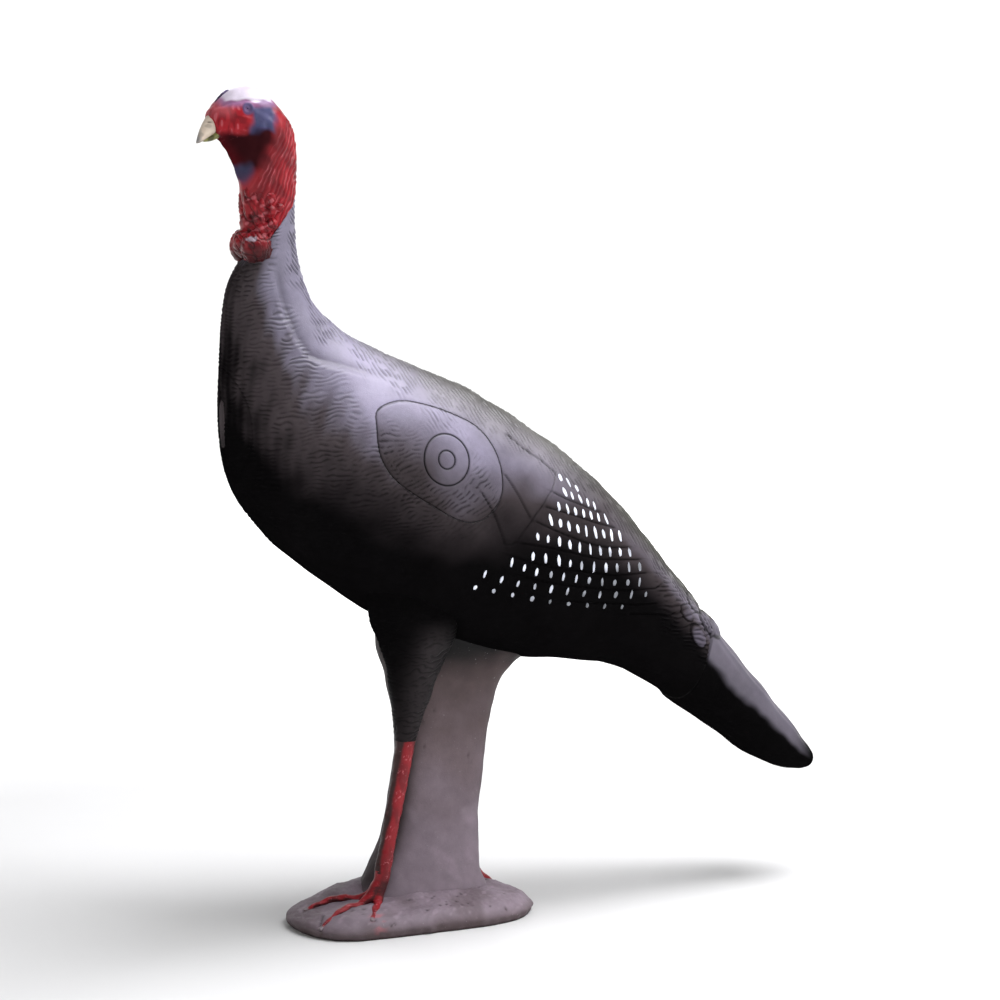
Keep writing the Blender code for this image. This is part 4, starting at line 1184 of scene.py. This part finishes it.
def make_wattle():
    """Throat skin: two big bulbs, long lobes down the throat and a cluster of caruncles on each side."""
    lumps = []
    random = np.random.default_rng(3)
    for side in (-1, 1):
        lumps += [lump(x, side * y, z, *sizes) for x, y, z, *sizes in SIDE_LUMPS]
        for _ in range(9):
            angle = random.uniform(0, 2 * math.pi)
            y = side * (0.0180 + random.uniform(0, 0.005))
            radius = random.uniform(0.0042, 0.0058)
            lumps.append(lump(BULB[0] + 0.0105 * math.cos(angle), y, BULB[2] + 0.0110 * math.sin(angle),
                              radius, radius, radius))
    wattle = join("wattle_skin", lumps + [lump(*row) for row in MIDDLE_LUMPS])
    remesh(wattle, 0.0008, 3)
    points = read_vertices(wattle)
    creases = bell(ripple(points * (1.0, 1.0, 1.4), 0.014, 96), 0.16)
    relief = 0.00025 * ripple(points, 0.0050, 95) - 0.0010 * creases
    points += read_vertices(wattle, "normal") * relief[:, None]
    move_vertices(wattle, points)
    x, _, z = axes(points)
    colours = coats(
        mix(RED * 0.66, DEEP_RED, 0.8 * ramp(-0.5, 0.6, ripple(points, 0.012, 97))),
        (PINK * 0.8, 0.5 * ramp(0.5, 1.1, ripple(points, 0.009, 98)) * ramp(0.672, 0.69, z)),
        # Painted shade in the creases and under the bulbs.
        (MAROON, 0.70 * creases),
        (MAROON, 0.85 * ramp(0.690, 0.665, z - 0.25 * (x - BULB[0]))))
    for side in (-1, 1):
        glint = np.linalg.norm((points - (-0.1690, side * 0.0290, 0.6830)) * (0.8, 0.4, 1.6), axis=1)
        lit = ramp(0.0050, 0.0034, glint + 0.0008 * ripple(points, 0.006, 99))
        colours = mix(colours, WHITE * 0.60, 0.75 * lit)
    paint(wattle, colours, SKIN_SHINE)
    hand_over(wattle, SKIN, TARGET, "head_skin", "wattle")


def make_beard():
    """A thin flat tuft of strands lying on the breast's middle line."""
    rows = []
    for share, fullness in ((0.0, 0.3), (0.08, 0.8), (0.35, 1.0), (0.7, 0.85), (0.92, 0.5), (1.0, 0.15)):
        rows.append((0.528 - 0.046 * share, -0.1905 - 0.0024 * fullness, -0.1830, 0.0, 0.0048 * fullness))
    points = blade_grid(rows, 20, 96, 2.2)
    strands = np.sin(points[..., 1] * 2 * math.pi / 0.0018 + 1.2 * ripple(points * (1, 1, 0.2), 0.006, 101))
    points[..., 0] -= 0.0004 * strands * ramp(-0.188, -0.191, points[..., 0])
    colours = mix(BRONZE * 0.5, BRONZE, ramp(0.485, 0.505, points[..., 2]))
    add_piece("beard_tuft", points, colours, 0.10, DARK_PLUMAGE, "dark_plumage", "beard")


# ---- Legs and ground plate ---------------------------------------------------------------------


def mound_height(x, y):
    """Height of the ground plate's surface at (x, y)."""
    offset = np.array((x, y)) - BASE_MIDDLE
    rim = polar_radius(BASE_OUTLINE, BASE_MIDDLE, math.atan2(offset[1], offset[0]))
    heights, scales = zip(*BASE_PROFILE[2:])
    return float(settle(np.interp(math.hypot(*offset) / rim, scales[::-1], heights[::-1]), y))


def settle(height, y):
    """The mound lies flatter in front of the column than behind it."""
    excess = np.maximum(height - 0.0200, 0.0)
    return height - 0.55 * excess * ramp(0.012, -0.022, y)


def bore_tool(x, bottom, top, steps):
    """What is cut away for the steel tube at that x."""
    path = ((x, 0, bottom, BORE_RADIUS), (x, 0, top, BORE_RADIUS))
    return closed_mesh("bore_tool", tube_grid(path, steps, 48))


def make_base():
    """The mound: uneven rim, soft swirls, pinholes and a crack by the front toes; tubes open below."""
    angles = ring_angles(420)
    rim = polar_radius(smooth_rows(BASE_OUTLINE, 16, closed=True), BASE_MIDDLE, angles)
    under = np.column_stack((np.zeros(14), np.linspace(0.01, 0.96, 14)))
    inner = np.column_stack((np.linspace(0.0420, 0.0422, 6)[1:], np.linspace(0.2, 0.01, 6)[1:]))
    rows = np.vstack((under, smooth_rows(BASE_PROFILE, 10), inner))
    spokes = np.stack((np.cos(angles), np.sin(angles)), axis=-1)
    points = np.zeros((len(rows), len(angles), 3))
    points[..., :2] = BASE_MIDDLE + (rows[:, 1, None] * rim)[..., None] * spokes
    points[..., 2] = settle(rows[:, 0, None], points[..., 1])
    upper = ramp(0.002, 0.010, points[..., 2])
    relief = 0.0010 * ripple(points, 0.055, 111) + 0.0006 * ripple(points, 0.018, 112)
    relief += 0.00022 * ripple(points, 0.006, 116)
    points[..., 2] += upper * relief
    edge = bell(points[..., 2] - 0.004, 0.004) * (points[..., 2] > 0)
    points[..., :2] += edge[..., None] * 0.0011 * ripple(points * (1, 1, 0), 0.016, 113)[..., None] * spokes
    random = np.random.default_rng(21)
    dots = np.zeros(points.shape[:2])
    for _ in range(60):
        angle = random.uniform(0, 2 * math.pi)
        reach = math.sqrt(random.uniform(0.25, 0.95)) * np.interp(angle, angles, rim)
        spot = BASE_MIDDLE + reach * np.array((math.cos(angle), math.sin(angle)))
        distance = np.linalg.norm(points[..., :2] - spot, axis=-1)
        dot = bell(distance, random.uniform(0.0009, 0.0018))
        points[..., 2] -= upper * random.uniform(0.0006, 0.0018) * dot
        dots = np.maximum(dots, dot)
    crack = bell(line_distance(points[..., :2], CRACK)[0], 0.0011)
    points[..., 2] -= upper * 0.0016 * crack
    x, y, z = axes(points)
    smear = ramp(0.012, 0.004, np.hypot(x + 0.060, y + 0.070)) * ramp(-0.2, 0.8, ripple(points, 0.01, 115))
    colours = coats(
        mix(STONE * 1.15, STONE_DARK, 0.40 * ramp(-0.3, 1.0, ripple(points, 0.05, 114))),
        (STONE * 1.8, 0.35 * ramp(0.6, 1.6, ripple(points, 0.010, 117))),
        (STONE_DARK * 0.3, 0.75 * np.clip(dots + crack, 0.0, 1.0)),
        # Painted shade along the foot of the rim.
        (STONE_DARK, 0.75 * ramp(0.017, 0.004, z)),
        (STONE_DARK * 0.5, 0.9 * ramp(0.0035, 0.0005, z)),
        (PINK * 0.7, 0.5 * smear))
    add_piece("ground_mound", points, colours, GROUND_SHINE, GROUND, "ground_plate", "base",
              tools=[bore_tool(bore_x, -0.01, 0.06, 8) for bore_x in BORE_X])


def make_column():
    """The blade of foam: warm grey at the foot and black paint below the belly, with painted shade under the
    body and along both edges.
    """
    heights, fronts, rears, halves = zip(*COLUMN_STATIONS)
    points = blade_grid(list(zip(heights, fronts, rears, [0.0] * len(heights), halves)), 20, 260, 3.0)
    normals = grid_normals(points)
    relief = 0.0006 * ripple(points, 0.060, 121) + 0.00025 * ripple(points, 0.016, 122)
    relief += 0.0005 * bell(points[..., 1], 0.0008)
    random = np.random.default_rng(22)
    dots = np.zeros(points.shape[:2])
    for _ in range(26):
        spot = (random.uniform(-0.02, 0.08), random.choice((-0.021, 0.021)), random.uniform(0.05, 0.24))
        dot = bell(np.linalg.norm((points - spot) * (1.0, 1.0, 0.6), axis=-1), 0.0013)
        relief -= random.uniform(0.0005, 0.0012) * dot
        dots = np.maximum(dots, dot)
    points = points + normals * relief[..., None]
    x, _, z = axes(points)
    shank_x = np.interp(z, (0.03, 0.0580, 0.0830, 0.1280, 0.2000),
                        (-0.046, -0.0385, -0.0325, -0.0225, -0.0090))
    front = np.maximum(ramp(0.010, 0.000, x - shank_x), ramp(-0.10, -0.45, normals[..., 0]) * (x < 0.02))
    rear = ramp(0.008, 0.001, np.interp(z, heights, rears) - x)
    colours = coats(
        # Painted shade: darker towards the top, under the body.
        mix(STONE, STONE_DARK * 1.3, 0.65 * ramp(0.06, 0.19, z + 0.012 * ripple(points, 0.05, 124))),
        (STONE_DARK * 0.9, 0.8 * ramp(0.150, 0.262, z + 0.010 * ripple(points, 0.04, 123))),
        (BLACK, ramp(0.236, 0.275, z + 0.003 * ripple(points, 0.03, 125))),
        (STONE_DARK * 0.4, 0.7 * dots),
        (STONE * 1.5, 0.35 * ramp(0.4, 1.4, ripple(points, 0.035, 126)) * ramp(0.17, 0.10, z)),
        # Painted shadow down the front edge by the shank, and painted shade along the rear edge.
        (STONE_DARK * 0.35, 0.88 * front * ramp(0.018, 0.044, z)),
        (STONE_DARK * 0.5, 0.6 * rear * ramp(0.06, 0.10, z)))
    add_piece("leg_blade", points, colours, GROUND_SHINE, GROUND, "ground_plate", "leg_column",
              tools=[bore_tool(bore_x, -0.02, BORE_TOP, 20) for bore_x in BORE_X])


def make_thigh(word, side):
    shift = 0.0 if side < 0 else RIGHT_LEG_SHIFT
    rows = [(height, front + shift, rear + shift, -side * middle, half)
            for height, front, rear, middle, half in THIGH_STATIONS]
    points = blade_grid(rows, 26, 200, 2.2)
    strokes = stroke_waves(points, 6.0, 0.0048, 131, 1.8) * ramp(0.34, 0.31, points[..., 2])
    points = raised(points, 0.00038 * strokes + 0.0005 * ripple(points, 0.03, 134))
    x, _, z = axes(points)
    warm = bell(x - shift - np.interp(z, (0.19, 0.30), (-0.012, 0.002)), 0.018) * ramp(0.315, 0.280, z)
    # Painted shade in the strokes' valleys.
    colours = coats(mix(BLACK, BRONZE * 0.45, warm), (BLACK, 0.6 * ramp(0.1, -0.8, strokes)))
    add_piece(word + "_thigh_feathers", points, colours, 0.06 * warm, DARK_PLUMAGE, "dark_plumage",
              word + "_thigh")


def shank_rows(side):
    if side < 0:
        return SHANK_PATH
    return [(x + RIGHT_LEG_SHIFT, -y, z, radius) for x, y, z, radius in SHANK_PATH]


def scutes(points, lengths, depth=0.00045, pitch=0.0046):
    """Relief of overlapping horn scales, one after another along a leg or toe."""
    phase = (lengths / pitch + 0.25 * ripple(points, 0.02, 141)) % 1.0
    return depth * (phase ** 0.6 - 0.5)


def leg_colours(points, seed):
    """Brushed red with darker patches and a few light scratches."""
    scratches = bell(ripple(points * (1, 1, 1.6), 0.0060, seed + 1), 0.12)
    scratches = scratches * ramp(0.0, 0.9, ripple(points, 0.014, seed + 2))
    return coats(np.broadcast_to(RED * 0.75, points.shape),
                 (DEEP_RED, 0.65 * ramp(-0.2, 1.0, ripple(points * (1, 1, 0.3), 0.012, seed))),
                 (PINK, 0.75 * scratches))


def make_shank(word, side):
    rows = list(shank_rows(side))
    x, y, z, radius = rows[-1]
    points = tube_grid(rows + [(x - 0.0020, y, z - 0.0070, radius * 0.80)], 30, 72)
    points = raised(points, scutes(points, arc_lengths(points)) + 0.0003 * ripple(points, 0.012, 142))
    path = np.array(rows)[::-1]
    off_axis = (points[..., 0] - np.interp(points[..., 2], path[:, 2], path[:, 0])) / 0.0085
    front = ramp(-0.48, -0.82, off_axis + 0.10 * ripple(points, 0.02, 144))
    # Painted shade along the back edge, and a painted shadow down the front side where the column is dark.
    colours = coats(leg_colours(points, 143), (MAROON, 0.70 * ramp(0.75, 1.0, off_axis)),
                    (STONE_DARK * 0.2, 0.92 * front))
    add_piece(word + "_shank_scales", points, colours, LEG_SHINE, LEG_PAINT, "leg_paint", word + "_shank")


def make_foot(word, side):
    """Toes fused at the knuckle, draped down the mound, each ending in a pale claw."""
    x, y, z, radius = shank_rows(side)[-1]
    toes = []
    tips = []
    for steps in (LEFT_TOES if side < 0 else RIGHT_TOES):
        path = [(x, y, z, radius * 0.93), (x - 0.0030, y + side * 0.0010, z - ANKLE_DROP, radius * 0.90)]
        for forward, outward, toe_radius, *lift in steps:
            toe_x = x + forward
            toe_y = y + side * outward
            path.append((toe_x, toe_y, mound_height(toe_x, toe_y) + TOE_LIFT + sum(lift), toe_radius))
        points = tube_grid(path, 16, 40)
        lengths = arc_lengths(points)
        knuckles = 0.0004 * np.cos(2 * math.pi * lengths / 0.0165)
        toes.append(closed_mesh("toe", raised(points, scutes(points, lengths, 0.0004, 0.0038) + knuckles)))
        tips.append(path[-1][:3])
    foot = join(word + "_foot_toes", toes)
    remesh(foot, 0.0007, 2)
    points = read_vertices(foot)
    # Painted shade on the toes' sides, which face sideways and downwards.
    shaded_sides = ramp(0.45, 0.05, read_vertices(foot, "normal")[:, 2]) * ramp(0.052, 0.044, points[:, 2])
    claws = [(CLAW, ramp(0.0065, 0.0035, np.linalg.norm(points - tip, axis=1))) for tip in tips]
    paint(foot, coats(leg_colours(points, 145), (MAROON, 0.80 * shaded_sides), *claws), LEG_SHINE)
    hand_over(foot, LEG_PAINT, TARGET, "leg_paint", word + "_foot")


# ---- Stage -------------------------------------------------------------------------------------

def make_stage():
    """A pale floor that sweeps up into a round backdrop, wide enough for a camera to orbit inside."""
    level = 4.6
    sweep = 2.4
    turns = np.linspace(0.05, 1.45, 16)
    radii = np.concatenate((np.linspace(0.02, level, 24), level + sweep * np.sin(turns)))
    heights = np.concatenate((np.zeros(24), sweep - sweep * np.cos(turns)))
    angles = ring_angles(96)
    points = np.zeros((len(radii), len(angles), 3))
    points[..., 0] = radii[:, None] * np.cos(angles)
    points[..., 1] = radii[:, None] * np.sin(angles)
    points[..., 2] = heights[:, None]
    floor = closed_mesh("studio_floor", points, open_end=True)
    made, tree, shader = new_material("floor_paint")
    coords = tree.nodes.new("ShaderNodeTexCoord").outputs["Object"]
    tone = range_node(tree, noise_node(tree, coords, 3.0), 0.3, 0.7, 0.0, 1.0)
    tree.links.new(blend_node(tree, "MIX", tone, (0.71, 0.71, 0.71, 1.0), (0.73, 0.73, 0.73, 1.0)),
                   shader.inputs["Base Color"])
    shader.inputs["Roughness"].default_value = 0.9
    floor.data.materials.append(made)


def add_light(name, location, aim, size, power, colour):
    lamp = bpy.data.lights.new(name, "AREA")
    lamp.shape = "DISK"
    lamp.size = size
    lamp.energy = power
    lamp.color = colour
    holder = bpy.data.objects.new(name, lamp)
    holder.location = location
    holder.rotation_euler = (Vector(aim) - Vector(location)).to_track_quat("-Z", "Y").to_euler()
    bpy.context.scene.collection.objects.link(holder)


def make_lights():
    """A broad sky panel above and to the rear, weak fill, and washes that light the backdrop alone."""
    add_light("sky_panel", (0.80, -0.30, 2.20), (0.05, 0.0, 0.40), 1.8, 84.0, (0.98, 0.98, 1.0))
    add_light("side_panel", (2.0, -1.8, 0.9), (0.05, 0.0, 0.35), 1.2, 9.0, (1.0, 0.99, 0.98))
    add_light("back_panel", (0.5, 2.4, 1.8), (0.05, 0.0, 0.45), 1.2, 12.0, (1.0, 1.0, 1.0))
    for turn in range(6):
        angle = math.radians(60 * turn + 30)
        reach = np.array((math.cos(angle), math.sin(angle), 0.0))
        add_light("wash", reach * 1.9 + (0, 0, 2.5), reach * 6.0 + (0, 0, 0.5), 1.6, 190.0, (1.0, 1.0, 1.0))
    world = bpy.data.worlds.new("studio")
    world.use_nodes = True
    sky = world.node_tree.nodes["Background"]
    sky.inputs["Color"].default_value = (1.0, 1.0, 1.0, 1.0)
    sky.inputs["Strength"].default_value = 0.20
    bpy.context.scene.world = world


def make_camera():
    """From the bird's left and front, slightly above, aimed at the body's middle."""
    azimuth = math.radians(-25.0)
    elevation = math.radians(7.0)
    distance = 3.1
    aim = Vector((0.104, 0.0, 0.416))
    back = Vector((math.sin(azimuth) * math.cos(elevation), -math.cos(azimuth) * math.cos(elevation),
                   math.sin(elevation)))
    lens = bpy.data.cameras.new("photo_camera")
    lens.lens = 111.0
    lens.sensor_width = 36.0
    holder = bpy.data.objects.new("photo_camera", lens)
    holder.location = aim + back * distance
    holder.rotation_euler = (-back).to_track_quat("-Z", "Y").to_euler()
    bpy.context.scene.collection.objects.link(holder)
    bpy.context.scene.camera = holder
    bpy.context.scene.view_settings.view_transform = "Standard"


# ---- Everything --------------------------------------------------------------------------------

make_camera()
make_stage()
make_lights()
skin = make_torso()
make_core(skin)
make_dabs(skin)
make_tail()
make_head()
make_eyes()
make_beak()
make_wattle()
make_beard()
make_base()
make_column()
for word, side in SIDES:
    make_thigh(word, side)
    make_shank(word, side)
    make_foot(word, side)
for node, material in (("front_leg_tube", STEEL), ("rear_leg_tube", STEEL), ("neck_rod", STEEL),
                       ("tail_dowel", WOOD)):
    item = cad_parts[node]
    item.data.materials.clear()
    item.data.materials.append(material)

bpy.context.view_layer.update()
